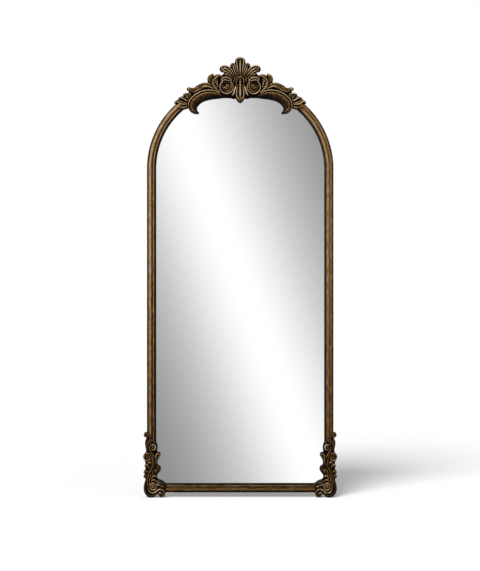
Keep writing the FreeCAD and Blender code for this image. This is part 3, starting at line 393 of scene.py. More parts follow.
# %% The ground and the shell
CREST_GROUND = [
    (241, 60), (236.5, 65), (232, 67.5), (226, 70), (222.5, 75.5), (219, 76.4), (214.2, 76.6), (210, 79), (207.4, 84),
    (199, 87), (193, 89), (188.2, 91.4), (188.8, 92.8), (186, 94.4), (183.5, 96.5), (180, 99), (176.8, 102.6),
    (177.5, 106.5), (179, 108.8), (184, 109), (188.5, 108), (190, 106.5), (193.5, 104.5), (197.3, 102.6),
    (203, 99.6), (212, 98.1), (225, 97.5), (231, 97.6), (232.4, 98.4), (234.2, 98.5),
    (235.6, 97.9), (236.4, 99.2), (237.4, 100.9), (238.8, 102.1), (241, 102.5),
]
SHELL = [
    ("body", [(238.5, 76, 5.5, 15.5), (237.5, 69, 5, 15.5), (239, 63, 3.4, 15.5)]),
    ("body", [(240.2, 66, 5, 15.5), (240.2, 62.6, 5.4, 17.5)]),
    ("body", [(236.6, 76, 1.2, 15.5), (235.2, 71, 2, 15.5), (233.8, 67.2, 2.9, 16.5), (232.8, 66, 2.7, 16.5)]),
    ("body", [(234.6, 77, 2, 14.5), (230.6, 72.6, 3.2, 15.5), (226.4, 69.6, 3.7, 16), (223, 69.3, 3.4, 16)]),
    ("body", [(232, 78, 1.4, 14.5), (228.5, 75.6, 1.7, 15.5), (226, 74.6, 1.5, 15.5)]),
    ("cut", [(231.6, 66.4, 0.9, 5), (232.9, 69, 0.7, 7)]),
    ("cut", [(220.7, 69.4, 0.8, 6), (221, 71.2, 0.8, 6)]),
    ("cut", [(224.2, 75.4, 0.8, 5), (226, 76.6, 0.8, 5), (229, 77, 0.5, 8)]),
    ("roll", [(236.7, 60.8, 0.7, 18), (237.9, 59.4, 0.95, 22), (240.2, 58.8, 1.05, 23.5)]),
    ("cut", [(238.4, 62.6, 0.65, 8), (238.6, 68, 0.55, 9), (239, 74, 0.35, 10)]),
    ("roll", [(240.2, 61.4, 0.95, 21), (240.2, 66, 1.1, 22.5), (240.2, 71, 0.9, 21), (240.2, 75, 0.6, 17)]),
    ("roll", [(236.5, 61.4, 0.7, 19), (236.9, 64.5, 0.85, 20.5), (237.5, 69, 0.8, 20), (238.4, 74.6, 0.5, 16)]),
    ("roll", [(230.9, 66.6, 0.6, 17), (231.7, 64.8, 0.75, 20), (233.6, 64.2, 0.8, 20.5), (235, 67, 0.8, 20),
              (236.2, 71, 0.7, 18.5), (237.2, 75.6, 0.5, 15)]),
    ("roll", [(232.9, 67.6, 0.6, 16), (234.1, 70.6, 0.75, 18.5), (235.6, 74.2, 0.65, 17.5), (236.4, 77, 0.5, 15)]),
    ("roll", [(221.2, 68.2, 0.6, 17), (223, 66.9, 0.8, 20), (225.8, 66.7, 0.85, 20.5), (228.8, 68, 0.8, 20),
              (231.7, 70.8, 0.75, 19), (234.4, 74.8, 0.55, 16)]),
    ("roll", [(222.2, 69.6, 0.6, 17), (224.6, 69, 0.85, 19.5), (227.6, 70.2, 0.9, 20), (230.6, 72.9, 0.8, 18.5),
              (233.2, 76.4, 0.55, 15.5)]),
    ("roll", [(221.6, 72, 0.5, 14), (223.8, 71.5, 0.75, 18), (226.8, 72.6, 0.8, 18), (229.6, 75, 0.7, 17),
              (231.8, 77.6, 0.5, 15)]),
    ("roll", [(225, 74.6, 0.6, 15), (227, 74.5, 0.7, 17), (229.4, 76, 0.6, 16)]),
    ("cut", [(223.6, 67.9, 0.35, 10), (226.6, 68.2, 0.45, 8), (230, 70.8, 0.45, 8), (233.2, 75, 0.35, 10)]),
    ("cut", [(223.4, 70.3, 0.35, 10), (226.6, 71.2, 0.45, 8), (229.6, 73.6, 0.45, 8), (232, 76.6, 0.35, 10)]),
    ("cut", [(234.2, 66.6, 0.35, 11), (235.4, 70.4, 0.45, 9), (236.8, 75, 0.35, 10)]),
    ("cut", [(235.7, 63.6, 0.4, 9), (236.3, 68, 0.45, 9), (237.6, 73.6, 0.35, 10)]),
]
print("shell strokes", len(SHELL))

# %% The niche and its pendant
NICHE = [
    ("roll", [(234, 84, 0.5, 12), (234.2, 81, 0.6, 13), (235, 78.6, 0.65, 14.5), (236.9, 76.2, 0.7, 15.5),
              (238.9, 74.9, 0.7, 16), (240.2, 74.5, 0.7, 16)]),
    ("cut", [(240.2, 79.2, 3.4, 4.5), (240.2, 82, 4.7, 4.5), (240.2, 85, 4.4, 4.5)]),
    ("roll", [(236.5, 82, 0.85, 22)]), ("roll", [(236.9, 79.9, 0.8, 22)]), ("roll", [(238.2, 78.3, 0.85, 23)]),
    ("roll", [(240.2, 77.5, 1.05, 24)]),
    ("body", [(240.2, 86, 2, 15.5), (240.2, 91, 3, 17), (240.2, 95.5, 3.6, 17.5), (240.2, 98.4, 3.2, 17),
              (240.2, 100.4, 2.2, 15.5)]),
    ("cut", [(238.5, 89.5, 0.8, 6), (238.1, 94, 1, 5.5), (238.5, 97.4, 0.7, 7)]),
    ("roll", [(240.2, 79.6, 0.7, 15), (240.2, 83, 0.9, 18), (240.2, 88, 1.15, 20), (240.2, 94, 1.35, 21.5),
              (240.2, 98.8, 1.1, 19)]),
    ("roll", [(237.4, 88, 0.55, 15), (236.7, 92, 0.7, 18), (236.6, 95.4, 0.75, 18.5), (237.4, 98.2, 0.75, 18),
              (239, 99.9, 0.75, 17)]),
    ("roll", [(236.2, 84.6, 0.7, 15)]), ("roll", [(237.4, 86, 0.7, 16)]),
    ("body", [(235.9, 87.2, 0.8, 17.5), (234.9, 90.4, 1.3, 20.5), (234, 93.4, 1.3, 21), (232.7, 95.4, 0.8, 18.5)]),
    ("cut", [(235.6, 91, 0.3, 10), (234.8, 94.4, 0.35, 10)]),
    ("roll", [(236.2, 97, 0.9, 10), (234.4, 97.4, 1, 9), (233.2, 97, 0.7, 9)]),
]
print("niche strokes", len(NICHE))

# %% [markdown]
# ### The ring, the side leaves and the horn
# A ring with a fluted shell stands at each side of the niche. Next to it a curled leaf and an upright leaf rise,
# and a long ridged arm runs out to a curled tip. The horn sweeps below them all, and a spray of leaves fans from its
# turn.

# %% Ring and side leaves
RING = [
    ("body", [(221.9, 80, 1, 15.5), (224.6, 79, 1.7, 17.5), (228, 79.4, 1.7, 17.5), (231.4, 81, 1.1, 15.5)]),
    ("body", [(226.7, 87.6, 6.7, 14.5)]),
    ("roll", scroll(226.7, 87.6, 6.7, 6.5, 125, 0.8, 0.75, 17.5)),
    ("roll", [(229.6, 83.2, 0.7, 13), (231.2, 86, 1.1, 16.5), (230.4, 89.8, 1.2, 17), (227.6, 92, 1, 16),
              (224.6, 91.6, 0.7, 14)]),
    ("roll", [(228.4, 85, 0.7, 14.5), (228.8, 87.4, 0.9, 16.5), (227, 89.2, 0.9, 16.5), (224.2, 89.3, 0.6, 14)]),
    ("cut", [(222.9, 84.8, 1.1, 4.5), (225.6, 83.8, 1.7, 4.5), (228, 84, 1.1, 5)]),
    ("cut", [(223.4, 87, 0.9, 5), (225.4, 86.2, 1, 5)]),
    ("roll", [(224.9, 82.9, 0.55, 14)]), ("roll", [(227, 83.6, 0.6, 14)]),
    ("roll", [(221.4, 80.4, 0.6, 17), (222.8, 78.6, 0.8, 19), (226, 77.9, 0.85, 19.5), (229.4, 78.9, 0.8, 19),
              (232, 81, 0.55, 16)]),
    ("roll", [(221.8, 81.1, 0.6, 17), (225, 80.6, 0.75, 19), (229, 81.4, 0.65, 17.5), (231.6, 82.8, 0.5, 14)]),
]
SIDE_LEAVES = [
    ("body", [(212.4, 84.6, 1.5, 16), (210.3, 81, 2.7, 18), (210.4, 78, 2.6, 18.5), (211.8, 75.8, 1.7, 18),
              (212.8, 74.6, 0.8, 16.5)]),
    ("roll", [(208.1, 82, 0.55, 15.5), (208.7, 78.8, 0.75, 18), (210.4, 76, 0.75, 18.5), (212.4, 74.8, 0.6, 17)]),
    ("roll", [(210.2, 82.6, 0.55, 16), (211, 79.2, 0.75, 18.5), (212.8, 76.2, 0.55, 17)]),
    ("body", [(219.4, 92.8, 1, 15.5), (216, 89.4, 1.5, 17), (214.2, 84.8, 1.7, 17.5), (215.2, 80.8, 1.5, 17)]),
    ("body", [(213.9, 79, 1.5, 16.5), (215.6, 76.9, 1.9, 17.5), (219.4, 76.1, 1.5, 18), (220.9, 76.8, 1, 16.5)]),
    ("roll", [(217.4, 79.6, 0.55, 13.5), (217, 83, 0.8, 14), (217.8, 87.4, 0.7, 13)]),
    ("cut", [(219.4, 78.6, 1.1, 4.5), (219.3, 83, 1.2, 4.5), (219.6, 87, 0.7, 6)]),
    ("cut", [(214.9, 82.4, 0.5, 7), (215.4, 86.6, 0.6, 7)]),
    ("roll", [(214.7, 77.4, 0.45, 17), (217, 75.6, 0.55, 19), (219.8, 75.4, 0.5, 18), (221, 76.4, 0.45, 16)]),
    ("roll", [(218.8, 92.3, 0.6, 15), (215.2, 89, 0.75, 18), (212.8, 84.8, 0.8, 20), (213.4, 80.8, 0.75, 20.5),
              (216, 78.6, 0.65, 20), (219.2, 76.2, 0.5, 18)]),
]
print("ring strokes", len(RING), "leaf strokes", len(SIDE_LEAVES))

# %% Arm, horn and spray
ARM = [
    ("body", [(213, 87.2, 1.5, 15.5), (208, 86, 2.6, 17), (203.4, 86, 2.8, 17), (198.4, 88.2, 2.8, 17),
              (194.4, 90.4, 2, 16), (191, 91.4, 1.4, 15)]),
    ("body", [(194, 89.2, 1.2, 15.5), (190.4, 89.6, 1.7, 16.5), (188.3, 89.4, 1.6, 16.5)]),
    ("cut", [(203.8, 89, 0.7, 4.5), (207.6, 88.5, 0.9, 4.5), (211.6, 89.4, 0.55, 5)]),
    ("cut", [(188, 90, 0.6, 6), (188.6, 91, 0.4, 6)]),
    ("roll", [(212.6, 86.2, 0.9, 16), (208, 84.8, 1.15, 18), (204, 84.3, 1.2, 18.5), (200, 85.4, 1.15, 18),
              (196.6, 87.3, 1, 17), (194.4, 88.8, 0.8, 15)]),
    ("roll", [(211.6, 85.4, 0.4, 17), (207.6, 83.8, 0.45, 19), (203.6, 83.5, 0.45, 19), (199.6, 84.9, 0.45, 18.5),
              (196.4, 86.6, 0.4, 17)]),
    ("roll", [(213, 89, 0.55, 16), (208.4, 87, 0.7, 18.5), (204.6, 87.2, 0.65, 18), (202.2, 88.8, 0.5, 15.5)]),
    ("roll", [(188.2, 88.4, 0.7, 17), (189.3, 90.1, 0.8, 19), (191.9, 90.3, 0.8, 19), (194.4, 88.9, 0.7, 17)]),
    ("roll", [(192.6, 88.7, 0.45, 15), (190.6, 88.6, 0.5, 16), (188.8, 88.1, 0.55, 16.5), (187.3, 89, 0.6, 16)]),
    ("roll", [(195.6, 88.8, 0.5, 16.5), (198, 88, 0.65, 18), (200.6, 86.9, 0.5, 16.5)]),
    ("roll", [(195.4, 91, 0.5, 16), (198.2, 90.2, 0.65, 17.5), (201, 88.9, 0.5, 16)]),
    ("cut", [(211.4, 86.9, 0.35, 11), (208, 85.9, 0.45, 9), (204.2, 85.7, 0.45, 9), (201.4, 87, 0.35, 10)]),
    ("cut", [(194.9, 90, 0.35, 11), (197.2, 89.4, 0.45, 9), (200.4, 88.3, 0.35, 11)]),
    ("roll", [(200.6, 90, 0.45, 15), (197.6, 91.2, 0.5, 15.5), (194.6, 92.2, 0.5, 15), (192, 92.4, 0.45, 13)]),
]
HORN = [
    ("horn", [(221, 96.8, 1.2, 15), (217, 95.5, 2.9, 18), (212.5, 94.5, 4.4, 20), (207.8, 94.8, 4.9, 21.5),
              (203.5, 95.8, 5.1, 22), (199.2, 97.8, 5.1, 22), (196.2, 100.1, 5.1, 22), (193.7, 102.8, 5.1, 22),
              (192.6, 105.6, 4.8, 21), (193, 108.3, 4, 20), (194.2, 110.3, 2.9, 19), (195.8, 111.7, 1.9, 17),
              (198.2, 112.9, 0.8, 14)]),
]
SPRAY = [
    ("body", [(191.5, 97, 1.6, 13.5), (187.5, 95.3, 2.2, 15.5), (184.6, 95.2, 1.5, 15.5)]),
    ("body", [(190, 101.5, 2, 13.5), (184, 98.6, 2.2, 15.5), (179.6, 98.9, 1.4, 15.5)]),
    ("body", [(189.5, 105, 2.2, 13.5), (183, 103, 2.4, 15.5), (178, 101.8, 1.9, 15.5), (175.6, 103, 1.3, 14.5)]),
    ("body", [(188.5, 106.5, 1.2, 13.5), (184, 107.3, 1.8, 13.5), (179.5, 107.6, 1.6, 13.5)]),
    ("roll", [(183.6, 95.6, 0.6, 16), (185.5, 94.4, 0.75, 18.5), (188.5, 94.2, 0.75, 18), (191, 94.6, 0.5, 15)]),
    ("roll", [(185.4, 96.2, 0.55, 16), (187, 97.2, 0.65, 18), (188.6, 98.8, 0.5, 15)]),
    ("roll", [(178.9, 99.1, 0.6, 16), (181, 98.1, 0.8, 19), (183.6, 99.4, 0.85, 19.5), (186.6, 101, 0.75, 18.5),
              (188.4, 101.2, 0.5, 15)]),
    ("roll", [(175.2, 103.6, 0.55, 15), (176.6, 101.8, 0.75, 18), (178.8, 102.9, 0.85, 19), (182, 104.6, 0.85, 19),
              (186.6, 104.8, 0.65, 17)]),
    ("cut", [(180.6, 100.4, 0.5, 8), (183.6, 101.8, 0.6, 7), (187.4, 102.8, 0.6, 7)]),
    ("cut", [(184, 96.8, 0.5, 8), (186.4, 98.8, 0.55, 7), (189, 99.8, 0.6, 7)]),
    ("cut", [(177.4, 104.6, 0.5, 8), (180.4, 106.3, 0.6, 7), (185.6, 106.3, 0.6, 7)]),
    ("roll", [(177.6, 108.4, 0.5, 14), (180.5, 108.7, 0.7, 17), (184.5, 108.1, 0.7, 17), (187.6, 107, 0.5, 14)]),
]
print("arm strokes", len(ARM), "horn strokes", len(HORN), "spray strokes", len(SPRAY))

# %% Lay the left half, mirror it and plant it
GROUND_HEIGHT = 5
LOWEST = 4
CREST_HIGHEST = 25.9
CREST_TONE = 0.29


def softened(height, highest):
    """Heights with their sharpest steps eased, between the lowest edge and the highest ridge."""
    return np.clip(0.6 * height + 0.4 * blur(height, 1), LOWEST, highest)


crest_pitch = 0.24
half_columns = 276
crest_top, crest_bottom = 56.6, 114.2
left_half = blank_relief(MIDDLE - crest_pitch * half_columns, MIDDLE, crest_top, crest_bottom, crest_pitch)
lay_ground(left_half, CREST_GROUND, GROUND_HEIGHT)
for part in (HORN, SPRAY, ARM, SIDE_LEAVES, RING, SHELL, NICHE):
    for kind, stations in part:
        lay_stroke(left_half, kind, stations)
fill_holes(left_half, GROUND_HEIGHT)
crest_relief = {}
for label, grid in left_half.items():
    other = 2 * MIDDLE - grid[:, -2::-1] if label == "across" else grid[:, -2::-1]
    crest_relief[label] = np.hstack([grid, other])
crest_relief["height"] = softened(crest_relief["height"], CREST_HIGHEST)
crest = placed("carved_crest", relief_mesh("carved_crest", crest_relief, SEAT, CREST_TONE))
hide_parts("crest_casting")
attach(crest, "mirror")
print("crest faces", len(crest.data.polygons))

# %% [markdown]
# ## The corner scrolls
# Each lower corner carries a planted scroll. A blade with a curled tip climbs the stile, a stem swings between two
# volutes, leaflets roll out at both sides, and the stem ends in a large volute and a small one.
# These two reach below the rail and back under it, and the mirror stands on them.
# The corners are a pair, so one is built and the other is its mirrored copy.

# %% Blade, two volutes and the stem
CORNER_GROUND = [
    (147.5, 440), (150, 435.5), (154, 440), (157, 443.5), (157.6, 449), (156.6, 452), (159, 454), (159, 457.5),
    (157.6, 460.5), (157, 464), (159.2, 467), (159.4, 470.5), (157.4, 474), (156.6, 478.5), (160, 480.5), (165, 483.5),
    (165.2, 489), (163.8, 494.5), (159, 494.5), (156, 493.5), (151, 494.5), (146.5, 492.5), (144.8, 487.5),
    (145.6, 481), (145.2, 478), (144.8, 474), (145.4, 469), (145.7, 465), (145.2, 461.5), (144, 458), (144.6, 454),
    (146.2, 451), (146, 446), (146.2, 441),
]
STEM = [
    ("leaf", [(148.3, 451, 1.2, 15), (147.3, 446, 1.9, 18), (147, 441.5, 1.8, 18), (147.9, 438, 1.3, 17)]),
    ("roll", [(149.6, 447, 0.9, 16), (150.5, 441, 1.2, 18), (150.3, 437, 1.3, 19), (148.6, 434, 1.4, 20),
              (146.3, 433, 1.35, 20), (145, 434.8, 1.2, 19), (146.2, 436.4, 1.1, 20), (148, 435.2, 1, 21)]),
    ("roll", [(154.6, 443.2, 0.8, 14), (154, 440.7, 1, 17), (152.5, 439.5, 1.2, 20), (151.5, 440.9, 0.9, 18)]),
    ("roll", scroll(153.2, 447.2, 3.7, 0.5, 225, -1.7, 1.15, 21)),
    ("roll", [(153.2, 447.2, 1.1, 22)]),
    ("roll", scroll(147.8, 457, 4.3, 0.7, 60, 1.55, 1.3, 21)),
    ("roll", [(147.6, 457, 1.15, 22)]),
    ("roll", [(150, 448.5, 0.8, 16), (150.6, 453, 1.1, 18), (152.6, 457.8, 1.25, 20), (153.6, 463, 1.25, 20.5),
              (152, 468, 1.25, 20.5), (149.6, 472.5, 1.2, 20), (148, 478, 1.2, 19.5)]),
    ("roll", [(151.8, 452, 0.6, 15), (154.7, 458, 0.75, 18), (155.1, 463.5, 0.75, 18), (153.8, 468.5, 0.75, 18),
              (151.6, 472.5, 0.75, 18), (150, 477, 0.75, 17), (149.6, 481, 0.75, 16)]),
    ("roll", [(155.3, 468, 0.9, 15), (155.9, 462, 1.05, 17), (156, 458, 1.15, 19), (156.7, 454.6, 1.15, 20),
              (158.1, 453.4, 1.15, 20), (159.4, 454.9, 1, 19), (158.6, 456.9, 0.9, 18)]),
]
print("stem strokes", len(STEM))

# %% Leaflets and foot
LEAFLETS = [
    ("roll", [(151.5, 466, 0.8, 15), (151.4, 463.3, 1, 17), (150.3, 461.8, 1.1, 19), (148.7, 462.2, 0.9, 17)]),
    ("roll", [(150, 468.5, 0.9, 15), (148.5, 465.8, 1.3, 18), (146.8, 464.6, 1.4, 19), (145.6, 466, 1.1, 17)]),
    ("roll", [(148.8, 473.4, 0.9, 15), (147.2, 471.2, 1.25, 17), (145.7, 470.6, 1.35, 18), (144.8, 472.2, 1.1, 17)]),
    ("roll", [(147.8, 477.6, 0.9, 15), (146.6, 475.7, 1.2, 17), (145.2, 475.2, 1.3, 18), (144.6, 476.8, 1, 16)]),
    ("leaf", [(155.4, 466.8, 1.2, 14), (158.3, 467.3, 1.6, 17), (159.3, 469.6, 1.4, 17), (158, 472, 1.1, 15),
              (156.4, 474, 1, 14)]),
    ("roll", [(152.6, 474, 0.9, 16), (153.3, 470.6, 1.1, 19), (155.1, 468.9, 1.2, 20), (156.6, 469.8, 1, 19),
              (156, 471.4, 0.8, 18)]),
    ("roll", [(151.8, 479, 0.8, 15), (152.9, 476.2, 0.95, 17.5), (154.6, 475.1, 1.05, 18.5), (156.1, 476.1, 0.9, 16)]),
    ("roll", [(151.3, 482, 0.8, 15), (152.3, 479.9, 0.95, 17), (154.2, 479.3, 0.95, 17), (155.4, 480.4, 0.7, 15)]),
    ("cut", [(154, 472, 0.6, 7), (154.6, 473.3, 0.4, 8)]), ("cut", [(152.5, 442.2, 0.8, 6), (152.6, 443, 0.6, 6)]),
]
FOOT = [
    ("roll", [(147.5, 478, 1.2, 16), (146.2, 482.5, 1.6, 17), (145.6, 487.5, 1.9, 18), (146.6, 492, 2.1, 18),
              (149.6, 494.9, 2.05, 18), (153.2, 495.2, 1.7, 18), (156.6, 493.6, 1.2, 17)]),
    ("roll", [(148, 477, 1.1, 19), (147.8, 482, 1, 19), (148.2, 487, 1, 20), (150, 491, 1.05, 20.5),
              (153.3, 492.4, 1, 20.5), (156.4, 490.9, 0.95, 20.5), (158.8, 489, 0.9, 20.5), (161.3, 488.6, 0.9, 20),
              (163.8, 490.2, 1, 19), (164.5, 492.8, 1.1, 18), (163.2, 495.2, 1.25, 17), (160.7, 495.4, 1.3, 17),
              (159.1, 493.6, 0.9, 17), (160.4, 491.7, 0.8, 18)]),
    ("roll", scroll(153.3, 486.6, 4.6, 0.7, 200, -1.9, 1, 20.5)),
    ("roll", [(153.3, 486.6, 1.2, 22)]),
    ("roll", [(161.6, 493, 0.95, 19)]),
    ("leaf", [(155.6, 481.6, 1.2, 16), (158.8, 481.6, 1.7, 19), (162, 483, 1.7, 19), (165.6, 484.6, 0.9, 15)]),
    ("roll", [(157.2, 484.2, 0.6, 17), (160, 484.6, 0.75, 19), (163, 485.8, 0.7, 19), (165.3, 486.6, 0.6, 16)]),
    ("leaf", [(158.2, 486.6, 1.1, 16), (160.6, 486.8, 1.3, 17), (163.8, 487.8, 1, 16)]),
]
print("leaflet strokes", len(LEAFLETS), "foot strokes", len(FOOT))

# %% Lay the corner and plant it on both sides
CORNER_HIGHEST = 23
CORNER_TONE = 0.1
corner_pitch = 0.2
CORNER_BOX = (142.9, 166.9, 431.0, 496.8)
corner_relief = blank_relief(*CORNER_BOX, corner_pitch)
lay_ground(corner_relief, CORNER_GROUND, GROUND_HEIGHT)
for part in (FOOT, LEAFLETS, STEM):
    for kind, stations in part:
        lay_stroke(corner_relief, kind, stations)
fill_holes(corner_relief, GROUND_HEIGHT)
corner_relief["height"] = softened(corner_relief["height"], CORNER_HIGHEST)
foot_relief = {label: grid.copy() for label, grid in corner_relief.items()}
RAIL_UNDERSIDE = 492.5
FOOT_HEIGHT = 3.0
foot_relief["inside"] = np.minimum(foot_relief["inside"], foot_relief["down"] - RAIL_UNDERSIDE)
foot_relief["height"] = np.full(foot_relief["height"].shape, FOOT_HEIGHT)
FRAME_BACK = 0.02


def mirrored_copy(mesh, name):
    twin = mesh.copy()
    twin.name = name
    places = np.zeros(len(twin.vertices) * 3)
    twin.vertices.foreach_get("co", places)
    places[0::3] *= -1
    twin.vertices.foreach_set("co", places)
    twin.flip_normals()
    return twin


carvings = [crest]
left_meshes = {"corner_scroll": relief_mesh("left_corner_scroll", corner_relief, SEAT, CORNER_TONE),
               "foot": relief_mesh("left_foot", foot_relief, FRAME_BACK, CORNER_TONE)}
for part_name, mesh in left_meshes.items():
    for side in ("left", "right"):
        piece = placed(f"{side}_{part_name}", mesh if side == "left" else mirrored_copy(mesh, f"right_{part_name}"))
        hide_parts(f"{side}_corner_casting")
        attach(piece, "mirror")
        carvings.append(piece)
print("carvings", [piece.name for piece in carvings])

# %% [markdown]
# ## Finishes
# Each effect that more than one finish uses is a node group. The first holds the antique bronze itself:
# dark brown glaze over a gold-brown coat, worn through to a pale tan where a cloth has rubbed it, with a faint
# painted grey sheen in clouds. It takes how pale a place is, from wear and from painted light and shade, and a place
# vector for the streaks of the glaze.
# Painted pictures would need unwrapped meshes. Noise in space needs none, and stays sharp close by.


# %% Helpers for shader nodes
def calc(tree, operation, *values, clamp=False):
    """A math node fed by sockets or plain numbers."""
    made = tree.nodes.new("ShaderNodeMath")
    made.operation = operation
    made.use_clamp = clamp
    for socket, value in zip(made.inputs, values):
        if isinstance(value, (int, float)):
            socket.default_value = value
        else:
            tree.links.new(value, socket)
    return made.outputs[0]


def ramp(tree, factor, stops):
    made = tree.nodes.new("ShaderNodeValToRGB")
    points = made.color_ramp.elements
    while len(points) < len(stops):
        points.new(0.5)
    for point, (place, colour) in zip(points, stops):
        point.position = place
        point.color = (*colour, 1) if isinstance(colour, tuple) else (colour, colour, colour, 1)
    tree.links.new(factor, made.inputs[0])
    return made.outputs[0]


def noise(tree, vector, scale, detail, roughness=0.5):
    made = tree.nodes.new("ShaderNodeTexNoise")
    made.inputs["Scale"].default_value = scale
    made.inputs["Detail"].default_value = detail
    made.inputs["Roughness"].default_value = roughness
    tree.links.new(vector, made.inputs["Vector"])
    return made.outputs["Fac"]


def new_group(name, inputs, outputs):
    tree = bpy.data.node_groups.new(name, "ShaderNodeTree")
    for label, kind in inputs:
        tree.interface.new_socket(label, in_out="INPUT", socket_type="NodeSocket" + kind)
    for label, kind in outputs:
        tree.interface.new_socket(label, in_out="OUTPUT", socket_type="NodeSocket" + kind)
    return tree, tree.nodes.new("NodeGroupInput").outputs, tree.nodes.new("NodeGroupOutput").inputs


def use_group(tree, group):
    made = tree.nodes.new("ShaderNodeGroup")
    made.node_tree = group
    return made


# %% Antique bronze
tree, given, result = new_group(
    "antique_bronze", [("Wear and painted light", "Float"), ("Place", "Vector")],
    [("Color", "Color"), ("Roughness", "Float"), ("Metallic", "Float"), ("Height", "Float")])
streaks = noise(tree, given["Place"], 1.0, 5, 0.62)
specks = noise(tree, given["Place"], 5.5, 3, 0.6)
streaked = calc(tree, "MULTIPLY_ADD", calc(tree, "SUBTRACT", streaks, 0.5), 0.95, given["Wear and painted light"])
streaked_wear_and_light = calc(tree, "MULTIPLY_ADD", calc(tree, "SUBTRACT", specks, 0.5), 0.35, streaked, clamp=True)
BRONZE = [(0.0, (0.0008, 0.0005, 0.0003)), (0.2, (0.003, 0.0018, 0.0007)), (0.4, (0.033, 0.0165, 0.004)),
          (0.58, (0.12, 0.06, 0.014)), (0.75, (0.25, 0.143, 0.048)), (0.88, (0.41, 0.265, 0.118)),
          (1.0, (0.62, 0.475, 0.32))]
# A faint painted grey sheen: a painted highlight laid in clouds on the worn places.
SHEEN_GREY = (0.19, 0.18, 0.2, 1)
cloudy = noise(tree, given["Place"], 0.4, 2, 0.5)
sheen_clouds = calc(tree, "MULTIPLY", calc(tree, "SUBTRACT", cloudy, 0.53), 3.0, clamp=True)
sheened = tree.nodes.new("ShaderNodeMix")
sheened.data_type = "RGBA"
sheen_share = calc(tree, "MULTIPLY", calc(tree, "MULTIPLY", sheen_clouds, streaked_wear_and_light), 0.65)
tree.links.new(sheen_share, sheened.inputs["Factor"])
tree.links.new(ramp(tree, streaked_wear_and_light, BRONZE), sheened.inputs["A"])
sheened.inputs["B"].default_value = SHEEN_GREY
tree.links.new(sheened.outputs["Result"], result["Color"])
tree.links.new(calc(tree, "MULTIPLY_ADD", streaked_wear_and_light, -0.2, 0.55), result["Roughness"])
tree.links.new(calc(tree, "MULTIPLY_ADD", streaked_wear_and_light, 0.4, 0.15), result["Metallic"])
tree.links.new(calc(tree, "ADD", specks, streaks), result["Height"])
antique_bronze = tree
print("group", antique_bronze.name)

# %% [markdown]
# ## The mouldings
# The mouldings keep the frame's own shapes: a broad round, a quirk, a bead and a cove. A glaze is wiped along a
# moulding and the light falls the same way all along it, so the bands follow the section: pale on the crown of the
# round, gold-brown beside it, black in the quirk and the cove. The pale is worn finish with a painted highlight, and
# the black is dark glaze with painted shade. The group turns the distance from the outer edge into how pale a band is.
# The light comes from the left, so the painted highlight lies on the round on the left and on the bead on the right.
# A distance is used because it runs true round the arch too.

# %% Bands across the moulding
tree, given, result = new_group(
    "moulding_bands", [("Across", "Float"), ("Right", "Float")], [("Wear and painted light", "Float")])
# Both rows hold worn finish and dark glaze with painted light: a painted highlight where the slopes face the lamp,
# painted shade in the quirk and the cove. The right row differs from the left only by where that painted highlight
# lies.
LEFT_BANDS = [(0.0, 0.28), (0.1, 0.4), (0.2, 0.6), (0.28, 0.84), (0.38, 1.0), (0.44, 0.82), (0.5, 0.63), (0.6, 0.61),
              (0.64, 0.5), (0.68, 0.7), (0.74, 0.86), (0.79, 0.6), (0.84, 0.4), (0.9, 0.3), (1.0, 0.24)]
RIGHT_BANDS = [(0.0, 0.26), (0.12, 0.4), (0.2, 0.64), (0.27, 0.76), (0.36, 0.66), (0.46, 0.52), (0.52, 0.62),
               (0.58, 0.94), (0.67, 1.0), (0.73, 0.8), (0.8, 0.48), (0.9, 0.38), (1.0, 0.28)]
MOULDING_WIDTH = 0.04
share = calc(tree, "DIVIDE", given["Across"], MOULDING_WIDTH, clamp=True)
either_side = tree.nodes.new("ShaderNodeMix")
tree.links.new(given["Right"], either_side.inputs["Factor"])
tree.links.new(ramp(tree, share, LEFT_BANDS), either_side.inputs["A"])
tree.links.new(ramp(tree, share, RIGHT_BANDS), either_side.inputs["B"])
tree.links.new(either_side.outputs["Result"], result["Wear and painted light"])
moulding_bands = tree
print("group", moulding_bands.name)


# %% Helpers for finishes
def new_finish(name):
    finish = bpy.data.materials.new(name)
    finish.use_nodes = True
    tree = finish.node_tree
    return finish, tree, tree.nodes["Principled BSDF"].inputs


def cover(members, finish):
    """Lays a finish on nodes of the frame."""
    for member in members:
        nodes[member].data.materials.clear()
        nodes[member].data.materials.append(finish)


def stretched_place(tree, scale):
    coordinates = tree.nodes.new("ShaderNodeTexCoord")
    stretch = tree.nodes.new("ShaderNodeMapping")
    stretch.inputs["Scale"].default_value = scale
    tree.links.new(coordinates.outputs["Object"], stretch.inputs["Vector"])
    return stretch.outputs["Vector"]


def add_bump(tree, surface, height, strength, depth):
    bump = tree.nodes.new("ShaderNodeBump")
    bump.inputs["Strength"].default_value = strength
    bump.inputs["Distance"].default_value = depth
    tree.links.new(height, bump.inputs["Height"])
    tree.links.new(bump.outputs["Normal"], surface["Normal"])


GLAZE_DEPTH = 0.0006
GLAZE_SHEEN = 0.06


def bronze_finish(name, tree, surface, wear_and_painted_light, place, strength):
    """Wires the antique bronze to a finish's surface."""
    bronze = use_group(tree, antique_bronze)
    tree.links.new(wear_and_painted_light, bronze.inputs["Wear and painted light"])
    tree.links.new(place, bronze.inputs["Place"])
    for effect, socket in (("Color", "Base Color"), ("Roughness", "Roughness"), ("Metallic", "Metallic")):
        tree.links.new(bronze.outputs[effect], surface[socket])
    add_bump(tree, surface, bronze.outputs["Height"], strength, GLAZE_DEPTH)
    surface["Specular IOR Level"].default_value = GLAZE_SHEEN
    print("finish", name)


def place_parts(tree):
    coordinates = tree.nodes.new("ShaderNodeTexCoord")
    parts = tree.nodes.new("ShaderNodeSeparateXYZ")
    tree.links.new(coordinates.outputs["Object"], parts.inputs[0])
    return parts.outputs


def combined(tree, first, second, third):
    made = tree.nodes.new("ShaderNodeCombineXYZ")
    for socket, value in zip(made.inputs, (first, second, third)):
        tree.links.new(value, socket)
    return made.outputs[0]


